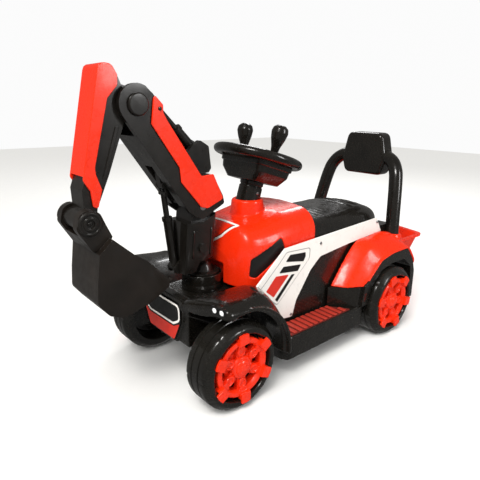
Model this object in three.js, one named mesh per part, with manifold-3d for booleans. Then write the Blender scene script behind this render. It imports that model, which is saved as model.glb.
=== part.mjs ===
// Ride-on toy digger, in millimetres: +Z up, the digger faces -Y, its left side is +X.
// Distances along Y are counted from the front axle; the whole group is then moved so that the
// origin lies on the ground under the middle of the digger's length.
import * as THREE from 'three';
import { mergeVertices } from 'three/addons/utils/BufferGeometryUtils.js';
import Module from 'manifold-3d';

const wasm = await Module();
wasm.setup();

// ---- driving dimensions -------------------------------------------------------------------
const MIDDLE_Y = 284;          // middle of the length, behind the front axle
const GAP = 0.4;               // air between neighbouring pieces
const WHEELBASE = 528;
const TYRE_RADIUS = 95;
const TYRE_HALF_WIDTH = 38;
const FRONT_WHEEL_X = 161;     // middle of a front tyre
const REAR_WHEEL_X = 175;
const AXLE_RADIUS = 6;
const CLAW_RADIUS = 77.6;      // tips of the wheel cover's claws
const CLAWS = 6;

const BODY_HALF_WIDTH = 126;
const BODY_FRONT_Y = 151;
const BODY_REAR_Y = 613;
const BODY_BOTTOM_Z = 62;
const SEAT_BASE_Z = 285;
const DECK_Z = 200;            // top of the deck that carries the turret
const HOOD_REAR_Y = 290;
const HOOD_BASE_Z = 211;
const HOOD_STEP_Y = 248;       // behind this the hood's lower edge is higher
const HOOD_STEP_Z = 262;
const FOOTBOARD_OUTER_X = 188;
const FOOTBOARD_BOTTOM_Z = 50;
const FOOTBOARD_TOP_Z = 107;
const FRONT_ARCH_RADIUS = 117;
const FRONT_LIP_RADIUS = 123;   // the same arch, at the fender's outer lip
const REAR_ARCH_RADIUS = 106;
const RIM_Z = 228;             // storage bin's rim

const KINGPIN_X = 112;
const STEERING_ARM = 49;       // kingpin to tie rod
const STEERING_CENTRE = [0, 209, 482];
const STEERING_LEAN = 16.95 * Math.PI / 180;
const RIM_RADIUS = 95;
const RIM_TUBE = 12;
const COLUMN_RADIUS = 28;
const CRANK_Z = -401;          // crank, below the steering wheel along its own axis
const CRANK_REACH = 36;

const TURRET_Y = 43;            // slewing axis
const TURRET_RADIUS = 47;
const TURRET_TOP_Z = 236;
const TURRET_FLOOR_Z = 229;    // floor inside the turret base's raised rim
const BOOM_PIVOT = [20, 394];  // each pivot as [y, z]
const ELBOW = [-121, 597];
const BUCKET_PIVOT = [-228, 397];
const BOOM_CYLINDER_FOOT = [-31, 262];
const BOOM_CYLINDER_HEAD = [-54, 442];
const STICK_CYLINDER_FOOT = [24, 508];
const STICK_HORN = [-80, 612];
const BOOM_HALF_WIDTH = 40;
const STICK_HALF_WIDTH = 27;
const COVER_HALF_WIDTH = 31.5;
const HUB_HALF_WIDTH = 47;
const BUCKET_HALF_WIDTH = 62;

// ---- finishes -----------------------------------------------------------------------------
const finish = (color, roughness, metalness = 0) => ({ color, roughness, metalness });
const BLACK = finish(0x17171a, 0.35);
const DARK = finish(0x1d1c1c, 0.5);
const RED = finish(0xe3200e, 0.3);
const WHITE = finish(0xeeece4, 0.35);
const STEEL = finish(0xb4b6b8, 0.35, 1);
const LAMP = finish(0xdfe3e6, 0.2);
const GREY = finish(0x6b6d70, 0.6);

// ---- geometry helpers ---------------------------------------------------------------------
const digger = new THREE.Group();
digger.position.y = -MIDDLE_Y;

/** An outline of [u, v, corner radius] points as a shape with rounded corners. */
function outline(points) {
  const shape = new THREE.Shape();
  points.forEach(([u, v, radius = 0], i) => {
    const corner = new THREE.Vector2(u, v);
    const towards = (step) => {
      const [nu, nv] = points[(i + points.length + step) % points.length];
      return new THREE.Vector2(nu, nv).sub(corner);
    };
    const before = towards(-1);
    const after = towards(1);
    const half = Math.abs(before.angleTo(after)) / 2;
    const room = 0.49 * Math.min(before.length(), after.length());
    const reach = Math.min(radius / Math.tan(half), room);
    const start = before.setLength(reach).add(corner);
    const end = after.setLength(reach).add(corner);
    if (i === 0) shape.moveTo(start.x, start.y);
    else shape.lineTo(start.x, start.y);
    if (radius > 0) shape.quadraticCurveTo(u, v, end.x, end.y);
  });
  shape.closePath();
  return shape;
}

/** A geometry as a solid: only positions, shared vertices merged. */
function solid(geometry) {
  const bare = new THREE.BufferGeometry();
  bare.setAttribute('position', geometry.getAttribute('position').clone());
  if (geometry.index) bare.setIndex(geometry.index.clone());
  const merged = mergeVertices(bare, 1e-3);
  return new wasm.Manifold(new wasm.Mesh({
    numProp: 3,
    vertProperties: new Float32Array(merged.getAttribute('position').array),
    triVerts: new Uint32Array(merged.index.array),
  }));
}

const join = (...solids) => solids.reduce((sum, next) => sum.add(next));
const cut = (body, ...tools) => tools.reduce((rest, tool) => rest.subtract(tool), body);

/** Extrudes a shape by depth, then carries its axes onto the given directions. */
function extrude(shape, depth, u, v, w, offset, curveSegments) {
  const geometry = new THREE.ExtrudeGeometry(shape, { depth, bevelEnabled: false, curveSegments });
  const basis = new THREE.Matrix4().makeBasis(
    new THREE.Vector3(...u), new THREE.Vector3(...v), new THREE.Vector3(...w));
  geometry.applyMatrix4(basis);
  geometry.translate(...offset);
  return solid(geometry);
}

/** A side view [y, z, r] given thickness from x0 to x1. */
const side = (points, x0, x1, segments = 3) =>
  extrude(outline(points), x1 - x0, [0, 1, 0], [0, 0, 1], [1, 0, 0], [x0, 0, 0], segments);
/** A plan [x, y, r] given height from z0 to z1. */
const plan = (points, z0, z1, segments = 3) =>
  extrude(outline(points), z1 - z0, [1, 0, 0], [0, 1, 0], [0, 0, 1], [0, 0, z0], segments);
/** A front view [x, z, r] given depth from y0 to y1. */
const front = (points, y0, y1, segments = 3) =>
  extrude(outline(points), y1 - y0, [1, 0, 0], [0, 0, 1], [0, -1, 0], [0, y1, 0], segments);

/** A box between two corners. */
function box([x0, y0, z0], [x1, y1, z1]) {
  const geometry = new THREE.BoxGeometry(x1 - x0, y1 - y0, z1 - z0);
  geometry.translate((x0 + x1) / 2, (y0 + y1) / 2, (z0 + z1) / 2);
  return solid(geometry);
}

/** A round bar or cone between two points. */
function bar(from, to, radius, endRadius = radius, sides = 14) {
  const a = new THREE.Vector3(...from);
  const b = new THREE.Vector3(...to);
  const geometry = new THREE.CylinderGeometry(endRadius, radius, a.distanceTo(b), sides);
  const turn = new THREE.Quaternion().setFromUnitVectors(
    new THREE.Vector3(0, 1, 0), b.clone().sub(a).normalize());
  geometry.applyQuaternion(turn);
  geometry.translate(...a.add(b).multiplyScalar(0.5).toArray());
  return solid(geometry);
}

/** A disc or drum along X about a [y, z] centre. */
const drum = ([y, z], radius, x0, x1, sides = 18) => bar([x0, y, z], [x1, y, z], radius, radius, sides);

/** A profile of [radius, height] points turned about Z. */
function turned(profile, sides = 32) {
  const points = [...profile, profile[0]].map(([r, h]) => new THREE.Vector2(r, h));
  const geometry = new THREE.LatheGeometry(points, sides);
  geometry.rotateX(Math.PI / 2);
  return facingOut(geometry);
}

/** Six times the signed volume of a closed indexed mesh. */
function signedVolume(positions, index) {
  const corner = (i) => new THREE.Vector3().fromArray(positions, 3 * index[i]);
  let sum = 0;
  for (let i = 0; i < index.length; i += 3) sum += corner(i).dot(corner(i + 1).cross(corner(i + 2)));
  return sum;
}

/** A closed geometry as a solid, its faces turned to point out. */
function facingOut(geometry) {
  const index = [...geometry.index.array];
  if (signedVolume(geometry.getAttribute('position').array, index) < 0) index.reverse();
  geometry.setIndex(index);
  return solid(geometry);
}

/** A skin over rings with equal numbers of [x, y, z] points, closed by a fan at both ends. */
function loft(rings) {
  const count = rings[0].length;
  const positions = rings.flat(2);
  const index = [];
  for (let r = 0; r + 1 < rings.length; r++) {
    for (let i = 0; i < count; i++) {
      const a = r * count + i;
      const b = r * count + (i + 1) % count;
      index.push(a, b, b + count, a, b + count, a + count);
    }
  }
  [[rings[0], 0, true], [rings.at(-1), (rings.length - 1) * count, false]].forEach(([ring, first, back]) => {
    const middle = positions.length / 3;
    for (let axis = 0; axis < 3; axis++) {
      positions.push(ring.reduce((sum, point) => sum + point[axis], 0) / count);
    }
    for (let i = 0; i < count; i++) {
      const a = first + i;
      const b = first + (i + 1) % count;
      index.push(middle, back ? b : a, back ? a : b);
    }
  });
  const geometry = new THREE.BufferGeometry();
  geometry.setAttribute('position', new THREE.Float32BufferAttribute(positions, 3));
  geometry.setIndex(index);
  return facingOut(geometry);
}

/** A round tube of [x, y, z] points joined by a smooth curve. */
function tube(points, radius, steps, sides = 12) {
  const path = new THREE.CatmullRomCurve3(points.map((p) => new THREE.Vector3(...p)), false, 'centripetal');
  const section = new THREE.Shape();
  for (let i = 0; i < sides; i++) {
    const angle = 2 * Math.PI * i / sides;
    const point = [radius * Math.cos(angle), radius * Math.sin(angle)];
    if (i === 0) section.moveTo(...point);
    else section.lineTo(...point);
  }
  section.closePath();
  return solid(new THREE.ExtrudeGeometry(section, { steps, extrudePath: path, bevelEnabled: false }));
}

/** The same solid on the other side of the X = 0 plane. */
function mirrored(body) {
  const mesh = body.getMesh();
  const geometry = new THREE.BufferGeometry();
  geometry.setAttribute('position', new THREE.BufferAttribute(Float32Array.from(mesh.vertProperties), 3));
  geometry.setIndex([...mesh.triVerts].reverse());
  geometry.scale(-1, 1, 1);
  return solid(geometry);
}

/** Adds a solid to the model as one named mesh. */
function piece(name, body, { color, roughness, metalness }, parent = digger) {
  const mesh = body.getMesh();
  const geometry = new THREE.BufferGeometry();
  geometry.setAttribute('position', new THREE.BufferAttribute(Float32Array.from(mesh.vertProperties), 3));
  geometry.setIndex([...mesh.triVerts]);
  geometry.computeVertexNormals();
  const part = new THREE.Mesh(geometry, new THREE.MeshStandardMaterial({ color, roughness, metalness }));
  part.name = name;
  parent.add(part);
  return part;
}

/** A left-hand solid and its mirror image as two pieces. */
function pair(name, body, look) {
  piece(`${name}_left`, body, look);
  piece(`${name}_right`, mirrored(body), look);
}

const point = ([y, z], x = 0) => [x, y, z];
/** The [y, z] point a distance along the line from one pivot towards another. */
function along([y0, z0], [y1, z1], distance) {
  const length = Math.hypot(y1 - y0, z1 - z0);
  return [y0 + (y1 - y0) * distance / length, z0 + (z1 - z0) * distance / length];
}
/** Points of an arc about [y, z], angles in degrees from +Y towards +Z. */
function arc([y, z], radius, from, to, steps) {
  return Array.from({ length: steps + 1 }, (_, i) => {
    const angle = (from + (to - from) * i / steps) * Math.PI / 180;
    return [y + radius * Math.cos(angle), z + radius * Math.sin(angle)];
  });
}

const FRONT_AXLE = [0, TYRE_RADIUS];
const REAR_AXLE = [WHEELBASE, TYRE_RADIUS];

// ---- wheels -------------------------------------------------------------------------------
/** A moulded tyre with its hub, turned about Z with its outer face up. */
function tyre() {
  const w = TYRE_HALF_WIDTH;
  const bore = AXLE_RADIUS + 0.35;
  return turned([
    [bore, -30], [17, -30], [17, 0], [62, 4], [68, -w], [86, -w + 1], [TYRE_RADIUS, -w + 12],
    [TYRE_RADIUS, w - 12], [86, w - 1], [73, w], [71, w - 24], [bore, w - 24],
  ], 24);
}

/** The clawed cover that is pressed into a tyre's outer face, about Z. */
function wheelCover() {
  const w = TYRE_HALF_WIDTH;
  const floor = w - 23.5;
  const web = turned([[0, floor], [37, floor], [37, floor + 8], [0, floor + 8]], 16);
  const ring = turned([[50, floor], [70, floor], [70, floor + 3], [64, floor + 5], [64, w - 2], [54, w - 2],
    [50, floor + 8]], 24);
  const spoke = (angle) => {
    const turn = (points, z0, z1) => {
      const c = Math.cos(angle);
      const s = Math.sin(angle);
      return plan(points.map(([x, y, r]) => [x * c - y * s, x * s + y * c, r]), z0, z1, 2);
    };
    const arm = turn([[0, -11], [60, -12], [60, 12], [0, 11]], floor + 3, w - 5);
    const claw = turn([[54, -12], [CLAW_RADIUS - 2, -9], [CLAW_RADIUS, 4], [CLAW_RADIUS - 3, 11], [54, 12]],
      w + GAP, w + 4.5);
    const root = turn([[54, -12], [69.5, -12], [69.5, 12], [54, 12]], w - 8, w + 1);
    return join(arm, claw, root);
  };
  const spokes = Array.from({ length: CLAWS }, (_, i) => spoke(2 * Math.PI * i / CLAWS));
  const cap = turned([[0, floor + 2], [22, floor + 2], [20, w + 2], [0, w + 3]], 12);
  return join(web, ring, ...spokes, cap);
}

/** Stands a wheel piece made about Z at its axle, its outer face away from the digger. */
function standWheel(mesh, sideSign, x, [y, z], spin) {
  mesh.rotation.set(spin, sideSign * Math.PI / 2, 0);
  mesh.position.set(sideSign * x, y, z);
}

const TYRE = tyre();
const COVER = wheelCover();
const axles = [['front', FRONT_WHEEL_X, FRONT_AXLE, 3], ['rear', REAR_WHEEL_X, REAR_AXLE, 17]];
axles.forEach(([end, x, axle, claw]) => {
  [['left', 1], ['right', -1]].forEach(([hand, sign]) => {
    const spin = claw * Math.PI / 180;
    standWheel(piece(`tyre_${end}_${hand}`, TYRE, DARK), sign, x, axle, 0);
    standWheel(piece(`wheel_cover_${end}_${hand}`, COVER, RED), sign, x, axle, spin);
  });
});

// ---- front axle and steering linkage ------------------------------------------------------
const FORK_RADIUS = 11;
const beamHalf = join(
  box([-1, -9, 87], [98, 9, 105]),
  box([93, -9, 70], [98, 9, 120]),
  box([93, -9, 115], [KINGPIN_X, 9, 120]),
  box([93, -9, 70], [KINGPIN_X, 9, 75]),
  bar([KINGPIN_X, 0, 115], [KINGPIN_X, 0, 120], FORK_RADIUS),
  bar([KINGPIN_X, 0, 70], [KINGPIN_X, 0, 75], FORK_RADIUS),
);
const kingpinHole = bar([KINGPIN_X, 0, 60], [KINGPIN_X, 0, 130], 5.25);
const forkedBeam = cut(beamHalf, kingpinHole);
piece('front_beam', join(forkedBeam, mirrored(forkedBeam)), GREY);

const knuckle = join(
  bar([KINGPIN_X, 0, 75.5], [KINGPIN_X, 0, 114.5], 10),
  bar([KINGPIN_X, 0, 68], [KINGPIN_X, 0, 122], 5),
  bar([KINGPIN_X, 0, TYRE_RADIUS], [FRONT_WHEEL_X + 12, 0, TYRE_RADIUS], AXLE_RADIUS),
  plan([[KINGPIN_X - 8, 0], [KINGPIN_X + 8, 0], [KINGPIN_X, STEERING_ARM + 6, 5],
    [KINGPIN_X - 14, STEERING_ARM + 6, 5]], 81, 86),
  bar([KINGPIN_X - 6, STEERING_ARM, 72], [KINGPIN_X - 6, STEERING_ARM, 86], 3.5),
);
pair('knuckle', knuckle, STEEL);

const CRANK_TIP_Y = 122.5;
const rodEnd = plan([[92, STEERING_ARM - 14, 5], [120, STEERING_ARM - 14, 5], [120, STEERING_ARM + 10, 5],
  [92, STEERING_ARM + 10, 5]], 74, 79);
const pinSlot = plan([[KINGPIN_X - 11, STEERING_ARM - 9, 4], [KINGPIN_X - 1, STEERING_ARM - 9, 4],
  [KINGPIN_X - 1, STEERING_ARM + 5, 4], [KINGPIN_X - 11, STEERING_ARM + 5, 4]], 70, 85);
const tieRod = cut(
  join(
    box([-94, STEERING_ARM - 6, 74], [94, STEERING_ARM + 6, 79]),
    plan([[-14, STEERING_ARM], [14, STEERING_ARM], [14, CRANK_TIP_Y + 13, 10], [-14, CRANK_TIP_Y + 13, 10]],
      74, 79),
    rodEnd, mirrored(rodEnd),
  ),
  pinSlot, mirrored(pinSlot),
  bar([0, CRANK_TIP_Y, 70], [0, CRANK_TIP_Y, 85], 8.5, 8.5, 16),
);
piece('tie_rod', tieRod, STEEL);

// ---- steering wheel, in a frame whose Z is the column's axis ------------------------------
const steering = new THREE.Group();
steering.position.set(...STEERING_CENTRE);
steering.rotation.x = -STEERING_LEAN;
digger.add(steering);

const LEVER_X = 46;
const LEVER_PIVOT_Z = -22;
const HUB_BOTTOM_Z = -58;
const leverPairX = [LEVER_X, -LEVER_X];
const rim = facingOut(new THREE.TorusGeometry(RIM_RADIUS, RIM_TUBE, 8, 32));
const wheelPad = join(
  plan([[-76, -30, 14], [76, -30, 14], [76, 34, 14], [-76, 34, 14]], -6, 5),
  box([-92, -15, -5], [92, 15, 4]),
  plan([[-22, 20], [22, 20], [16, 92], [-16, 92]], -5, 4),
);
const leverSlots = leverPairX.map((x) =>
  plan([[x - 14, -20, 9], [x + 14, -20, 9], [x + 14, 20, 9], [x - 14, 20, 9]], -20, 20));
piece('steering_wheel', cut(join(rim, wheelPad), ...leverSlots), BLACK, steering);

const hubRing = (halfX, halfY, corner, z) => {
  const shape = outline([[-halfX, -halfY, corner], [halfX, -halfY, corner], [halfX, halfY, corner],
    [-halfX, halfY, corner]]);
  return shape.getPoints(3).slice(0, -1).map(({ x, y }) => [x, y, z]);
};
const hub = loft([
  hubRing(54, 40, 16, HUB_BOTTOM_Z), hubRing(70, 50, 18, -36), hubRing(74, 54, 18, -6 - GAP),
]);
const leverWells = leverPairX.map((x) => bar([x, 0, LEVER_PIVOT_Z - 12], [x, 0, 0], 21, 21, 20));
const shaftEnd = bar([0, 0, HUB_BOTTOM_Z - 1], [0, 0, HUB_BOTTOM_Z + 20], AXLE_RADIUS + GAP);
piece('steering_hub', cut(hub, ...leverWells, shaftEnd), BLACK, steering);

const COLUMN_END_Z = -112;
piece('steering_column', turned([
  [AXLE_RADIUS + GAP, HUB_BOTTOM_Z - GAP], [COLUMN_RADIUS, HUB_BOTTOM_Z - GAP], [COLUMN_RADIUS, COLUMN_END_Z],
  [AXLE_RADIUS + GAP, COLUMN_END_Z],
], 24), BLACK, steering);

const crankPin = bar([0, CRANK_REACH, CRANK_Z - 19], [0, CRANK_REACH, CRANK_Z + 3], 4, 4, 12);
piece('steering_shaft', join(
  bar([0, 0, CRANK_Z - 3], [0, 0, HUB_BOTTOM_Z + 16], AXLE_RADIUS),
  plan([[-8, -8, 6], [8, -8, 6], [7, CRANK_REACH + 7, 6], [-7, CRANK_REACH + 7, 6]],
    CRANK_Z - 3, CRANK_Z + 3),
  crankPin,
), STEEL, steering);

const leverShape = turned([
  [0, -9], [7, -7], [9, 0], [6, 8], [8, 30], [10.5, 50], [16.5, 70], [19, 82], [17, 92], [9, 98], [0, 99],
], 14);
[['left', 1], ['right', -1]].forEach(([hand, sign]) => {
  const lever = piece(`lever_${hand}`, leverShape, BLACK, steering);
  lever.position.set(sign * LEVER_X, 0, LEVER_PIVOT_Z);
  lever.rotation.set(5 * Math.PI / 180, sign * 9 * Math.PI / 180, 0);
});

// ---- front shell: deck, nose and fenders --------------------------------------------------
/** One side-view ring of a fender: front edge, crown, and the fall behind the wheel. */
const fenderRing = (x, frontY, lowZ, topZ, fall) =>
  [[frontY, lowZ], [frontY, topZ], ...fall, [130, 86], [112, 86]].map(([y, z]) => [x, y, z]);
const lipFall = arc(FRONT_AXLE, 131, 78, 10, 6);
const edgeFall = arc(FRONT_AXLE, 127, 78, 10, 6);
const ridgeFall = [[32, 234], [60, 231], [84, 214], [104, 188], [119, 161], [129, 136], [131, 118]];
const crownFall = [[30, 237], [58, 238], [82, 226], [103, 203], [120, 174], [130, 146], [131, 118]];
const innerFall = [[50, 232], [76, 230], [98, 222], [114, 208], [124, 190], [130, 160], [131, 118]];
const deckFall = [
  [60, DECK_Z], [90, DECK_Z], [110, DECK_Z], [126, DECK_Z], [130, 180], [130, 150], [131, 118],
];
const fender = cut(
  loft([
    fenderRing(56, -60, 170, DECK_Z, deckFall),
    fenderRing(84, -58, 184, 218, innerFall.map(([y, z]) => [y, z - 16])),
    fenderRing(122, -55, 197, 230, innerFall),
    fenderRing(162, -48, 209, 238, crownFall),
    fenderRing(186, -44, 210, 238, ridgeFall),
    fenderRing(200, -42, 212, 233, lipFall),
    fenderRing(208, -38, 214, 225, edgeFall),
  ]),
  drum(FRONT_AXLE, FRONT_ARCH_RADIUS, 92, 196, 36),
  drum(FRONT_AXLE, FRONT_LIP_RADIUS, 195, 220, 36),
);

const BLOCK_HALF_WIDTH = 88;
const NOSE_FACE_Y = -63;
const nose = front([[-84, 216, 8], [84, 216, 8], [77, 168, 8], [52, 112, 6], [-52, 112, 6], [-77, 168, 8]],
  NOSE_FACE_Y, -40);
const outerBlock = join(
  box([-BLOCK_HALF_WIDTH, -56, 112], [BLOCK_HALF_WIDTH, 131, DECK_Z]),
  box([-BLOCK_HALF_WIDTH, -20, BODY_BOTTOM_Z], [BLOCK_HALF_WIDTH, 131, 120]),
  box([-BODY_HALF_WIDTH, 126, BODY_BOTTOM_Z], [BODY_HALF_WIDTH, BODY_FRONT_Y - GAP, DECK_Z]),
);
const innerBlock = join(
  box([-BLOCK_HALF_WIDTH + 5, -40, 50], [BLOCK_HALF_WIDTH - 5, 140, DECK_Z - 5]),
  box([-BODY_HALF_WIDTH + 5, 131, 50], [BODY_HALF_WIDTH - 5, 160, DECK_Z - 5]),
);
const shaftAt = (z) => [0, STEERING_CENTRE[1] + (z - STEERING_CENTRE[2]) * Math.tan(STEERING_LEAN), z];
const shaftClearance = bar(shaftAt(150), shaftAt(260), AXLE_RADIUS + 6);
const linkageNotches = join(
  box([-102, -12, 50], [102, 12, 123]),
  box([-KINGPIN_X - 20, STEERING_ARM - 20, 50], [KINGPIN_X + 20, STEERING_ARM + 16, 90]),
);
const frontShell = cut(
  join(fender, mirrored(fender), outerBlock, nose), innerBlock, shaftClearance, linkageNotches);

const PLATE_BACK_Y = NOSE_FACE_Y - GAP;
piece('number_plate', front([
  [-72, 205, 10], [72, 205, 10], [73, 165, 8], [50, 118, 6], [-50, 118, 6], [-73, 165, 8],
], PLATE_BACK_Y - 3, PLATE_BACK_Y), WHITE);

/** Front of the fender above the lamps' band, seen from above. */
const fenderFaceY = (x) => -48 + (x - 162) / 6;
const lampSlab = plan([156, 203, 203, 156].map((x, i) => [x, fenderFaceY(x) - (i < 2 ? 5.8 : 0.8)]),
  200, 250);
const lampOutline = front([[160, 235, 4], [198, 235, 6], [201, 222, 5], [162, 219, 4]], -70, -30);
pair('headlight', lampOutline.intersect(lampSlab), LAMP);

// ---- turret -------------------------------------------------------------------------------
const turretBase = turned([
  [0, DECK_Z + GAP], [TURRET_RADIUS, DECK_Z + GAP], [TURRET_RADIUS, 208], [TURRET_RADIUS - 1.5, 214],
  [TURRET_RADIUS - 1.5, TURRET_TOP_Z], [TURRET_RADIUS - 5, TURRET_TOP_Z], [TURRET_RADIUS - 5, TURRET_FLOOR_Z],
  [0, TURRET_FLOOR_Z],
], 32);
const turretMesh = piece('turret_base', turretBase, BLACK);
turretMesh.position.y = TURRET_Y;

const columnRing = (halfX, y0, y1, z) => outline([[-halfX, y0, 10], [halfX, y0, 10], [halfX, y1, 10],
  [-halfX, y1, 10]]).getPoints(2).slice(0, -1).map(({ x, y }) => [x, y, z]);
const columnFoot = loft([
  [TURRET_FLOOR_Z + GAP, 40], [239, 40], [241, 27], [252, 24], [259, 19], [263, 14], [290, 14],
]
  .map(([z, radius]) => arc([0, TURRET_Y], radius, 0, 345, 23).map(([x, y]) => [x, y, z])));
const columnSide = side([
  [-32, 250, 4], [2, 250, 8], [14, 272, 8], [70, 280], [70, 381], [22, 361], [-32, 361],
], -50, 50);
const columnPost = loft([
  columnRing(33, -27, 48, 246), columnRing(38, -21, 57, 356), columnRing(38.5, -20, 58, 384),
])
  .intersect(columnSide);
const headLug = side([[-6, 350], [46, 350], [40, 404, 12], [20, 416, 16], [0, 404, 12]], -29, 29);
const clampBoss = drum([19, 303], 10, 30, 41, 16);
const cylinderBay = side([[-60, 240], [-17, 240], [-17, 330], [-20, 390], [-60, 390]], -13, 13);
const footCheek = side([[-41, 262, 8], [-37, 250, 6], [-14, 246], [-14, 286], [-29, 274, 8]], 9.6, 14);
const slewColumn = join(
  cut(join(columnFoot, columnPost, headLug), cylinderBay, drum(BOOM_PIVOT, 8.4, -40, 40, 20)),
  clampBoss, footCheek, mirrored(footCheek),
  drum(BOOM_CYLINDER_FOOT, 4, -12, 12, 12),
);
piece('slew_column', slewColumn, BLACK);

// ---- boom ---------------------------------------------------------------------------------
const boomOutline = [
  ...arc(ELBOW, 36, 62, 214, 12),
  [-16, 387, 6], [2, 374, 8], [20, 368, 8], [76, 395, 5], [72, 412, 5], [45, 460, 4], [14, 458, 6],
  [-62, 568, 6],
  [-70, 583, 4], [-70, 597, 6],
];
const elbowSlot = drum(ELBOW, 56, -30.5, 30.5, 28);
const baseSlot = side([
  [-16, 340], [66, 340], [66, 380], [54, 425, 8], [20, 432, 10], [-12, 425, 8], [-26, 390],
], -30, 30);
const cylinderSlot = side([[-92, 400], [-20, 380], [-28, 470], [-84, 482]], -13.5, 13.5);
const rodChannel = side([[-100, 650], [-20, 560], [-28, 520], [-96, 566]], -14, 14);
const pinHole = (pivot, radius) => drum(pivot, radius, -60, 60, 16);
const boom = join(
  cut(side(boomOutline, -BOOM_HALF_WIDTH, BOOM_HALF_WIDTH), elbowSlot, baseSlot, cylinderSlot, rodChannel,
    pinHole(ELBOW, 9.3), pinHole(BOOM_PIVOT, 8.2)),
  drum(BOOM_CYLINDER_HEAD, 7, -8, 8, 16),
  side([[BOOM_CYLINDER_HEAD[0] - 7, 442], [BOOM_CYLINDER_HEAD[0] + 7, 442], [-50, 490], [-70, 490]], -8, 8),
);
piece('boom', boom, BLACK);

const panelOutline = [
  [-87, 613, 4], [-71, 597, 5], [-71, 583, 4], [-63, 569, 5], [14, 459, 5], [44, 461, 5], [71, 406, 6],
  [29, 390, 10], [13, 394, 8], [-35, 450, 8], [-38, 479, 8], [-97, 563, 8], [-91, 608, 4],
];
pair('boom_panel', side(panelOutline, BOOM_HALF_WIDTH + GAP, BOOM_HALF_WIDTH + 4), RED);

piece('boom_pin', drum(BOOM_PIVOT, 8, -BOOM_HALF_WIDTH + 0.5, BOOM_HALF_WIDTH - 0.5), STEEL);
piece('elbow_pin', join(
  drum(ELBOW, 9, -BOOM_HALF_WIDTH - 2, BOOM_HALF_WIDTH + 2),
  drum(ELBOW, 20, BOOM_HALF_WIDTH + GAP, BOOM_HALF_WIDTH + 6),
  drum(ELBOW, 20, -BOOM_HALF_WIDTH - 6, -BOOM_HALF_WIDTH - GAP),
), BLACK);

const bracketOutline = [
  [-12, 498, 4], [4, 516, 6], [26, 529, 6], [48, 516, 6], [54, 470, 4], [48, 461.5], [14, 459.2],
];
piece('boom_bracket', join(
  cut(side(bracketOutline, -22, 22),
    side([[-30, 500], [6, 486, 6], [40, 486, 8], [40, 560], [-30, 560]], -11, 11)),
  drum(STICK_CYLINDER_FOOT, 4, -12, 12, 12),
), BLACK);

// ---- stick --------------------------------------------------------------------------------
const stickOutline = [
  [-180, 656, 10], [-150, 643, 6], [-140, 620], [-139, 574], [-146, 556, 4], [-177, 476, 8], [-203, 418],
  [-206, 400], [-222, 378, 8], [-246, 390, 8], [-228, 420], [-229, 452, 6], [-220, 475, 6],
];
const hornPlate = side([[-121, 575], [-100, 590], [-76, 602, 6], [-72, 614, 8], [-82, 622, 8], [-125, 622]],
  -8, 8);
const stick = cut(
  join(side(stickOutline, -STICK_HALF_WIDTH, STICK_HALF_WIDTH),
    drum(ELBOW, 27, -STICK_HALF_WIDTH, STICK_HALF_WIDTH, 28),
    drum(BUCKET_PIVOT, 19, -STICK_HALF_WIDTH, STICK_HALF_WIDTH), hornPlate),
  pinHole(ELBOW, 9.4), pinHole(BUCKET_PIVOT, 8.4),
);
piece('stick', stick, BLACK);

const coverOutline = [
  [-185, 664, 14], [-162, 662, 10], [-152, 645, 5], [-153, 628, 5], [-173, 606, 8], [-178, 587, 8],
  [-204, 490, 10],
  [-203, 478, 8], [-194, 451, 8], [-203, 419, 4], [-212, 421, 4], [-215, 450, 6], [-227, 470, 8],
];
const swollenStick = side(stickOutline.map(([y, z, r]) => [y < -170 ? y - GAP : y + GAP, z + GAP, r]),
  -STICK_HALF_WIDTH - GAP, STICK_HALF_WIDTH + GAP);
const openShin = box([-STICK_HALF_WIDTH - GAP, -300, 380], [STICK_HALF_WIDTH + GAP, -150, 476]);
piece('stick_cover',
  cut(side(coverOutline, -COVER_HALF_WIDTH, COVER_HALF_WIDTH), swollenStick, openShin), RED);

// ---- bucket -------------------------------------------------------------------------------
const bucketOutline = [
  [-221, 342, 4], [-228, 290, 30], [-231, 250, 14], [-210, 222, 16], [-182, 210, 20], [-127, 224, 10],
  [-84, 247],
  [-80, 262], [-128, 312], [-155, 331, 10], [-194, 366],
];
const bucketHollow = [
  [-206, 338, 8], [-222, 290, 26], [-225, 254, 12], [-207, 228, 14], [-182, 216, 18], [-128, 229, 10],
  [-70, 259], [-60, 300], [-120, 352], [-150, 350], [-178, 348],
];
const neck = side([[-226, 345], [-252, 389, 12], [-246, 414, 16], [-228, 424, 20], [-208, 414, 16],
  [-199, 392, 8],
  [-188, 368], [-196, 350]], -HUB_HALF_WIDTH, HUB_HALF_WIDTH);
const stickSlot = side([[-300, 374], [-232, 374], [-212, 374, 6], [-190, 384], [-150, 470], [-300, 470]],
  -29, 29);
const tooth = (x) => side([[-88, 246], [-69, 256], [-69, 259], [-88, 252]], x - 6, x + 6);
const teeth = [-48, -24, 0, 24, 48].map(tooth);
const bucket = cut(
  join(
    cut(side(bucketOutline, -BUCKET_HALF_WIDTH, BUCKET_HALF_WIDTH),
      side(bucketHollow, -BUCKET_HALF_WIDTH + 4, BUCKET_HALF_WIDTH - 4)),
    neck, ...teeth,
  ),
  stickSlot, pinHole(BUCKET_PIVOT, 8.2),
);
piece('bucket', bucket, DARK);
piece('bucket_pin', drum(BUCKET_PIVOT, 8, -HUB_HALF_WIDTH - 2, HUB_HALF_WIDTH + 2), BLACK);

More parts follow.
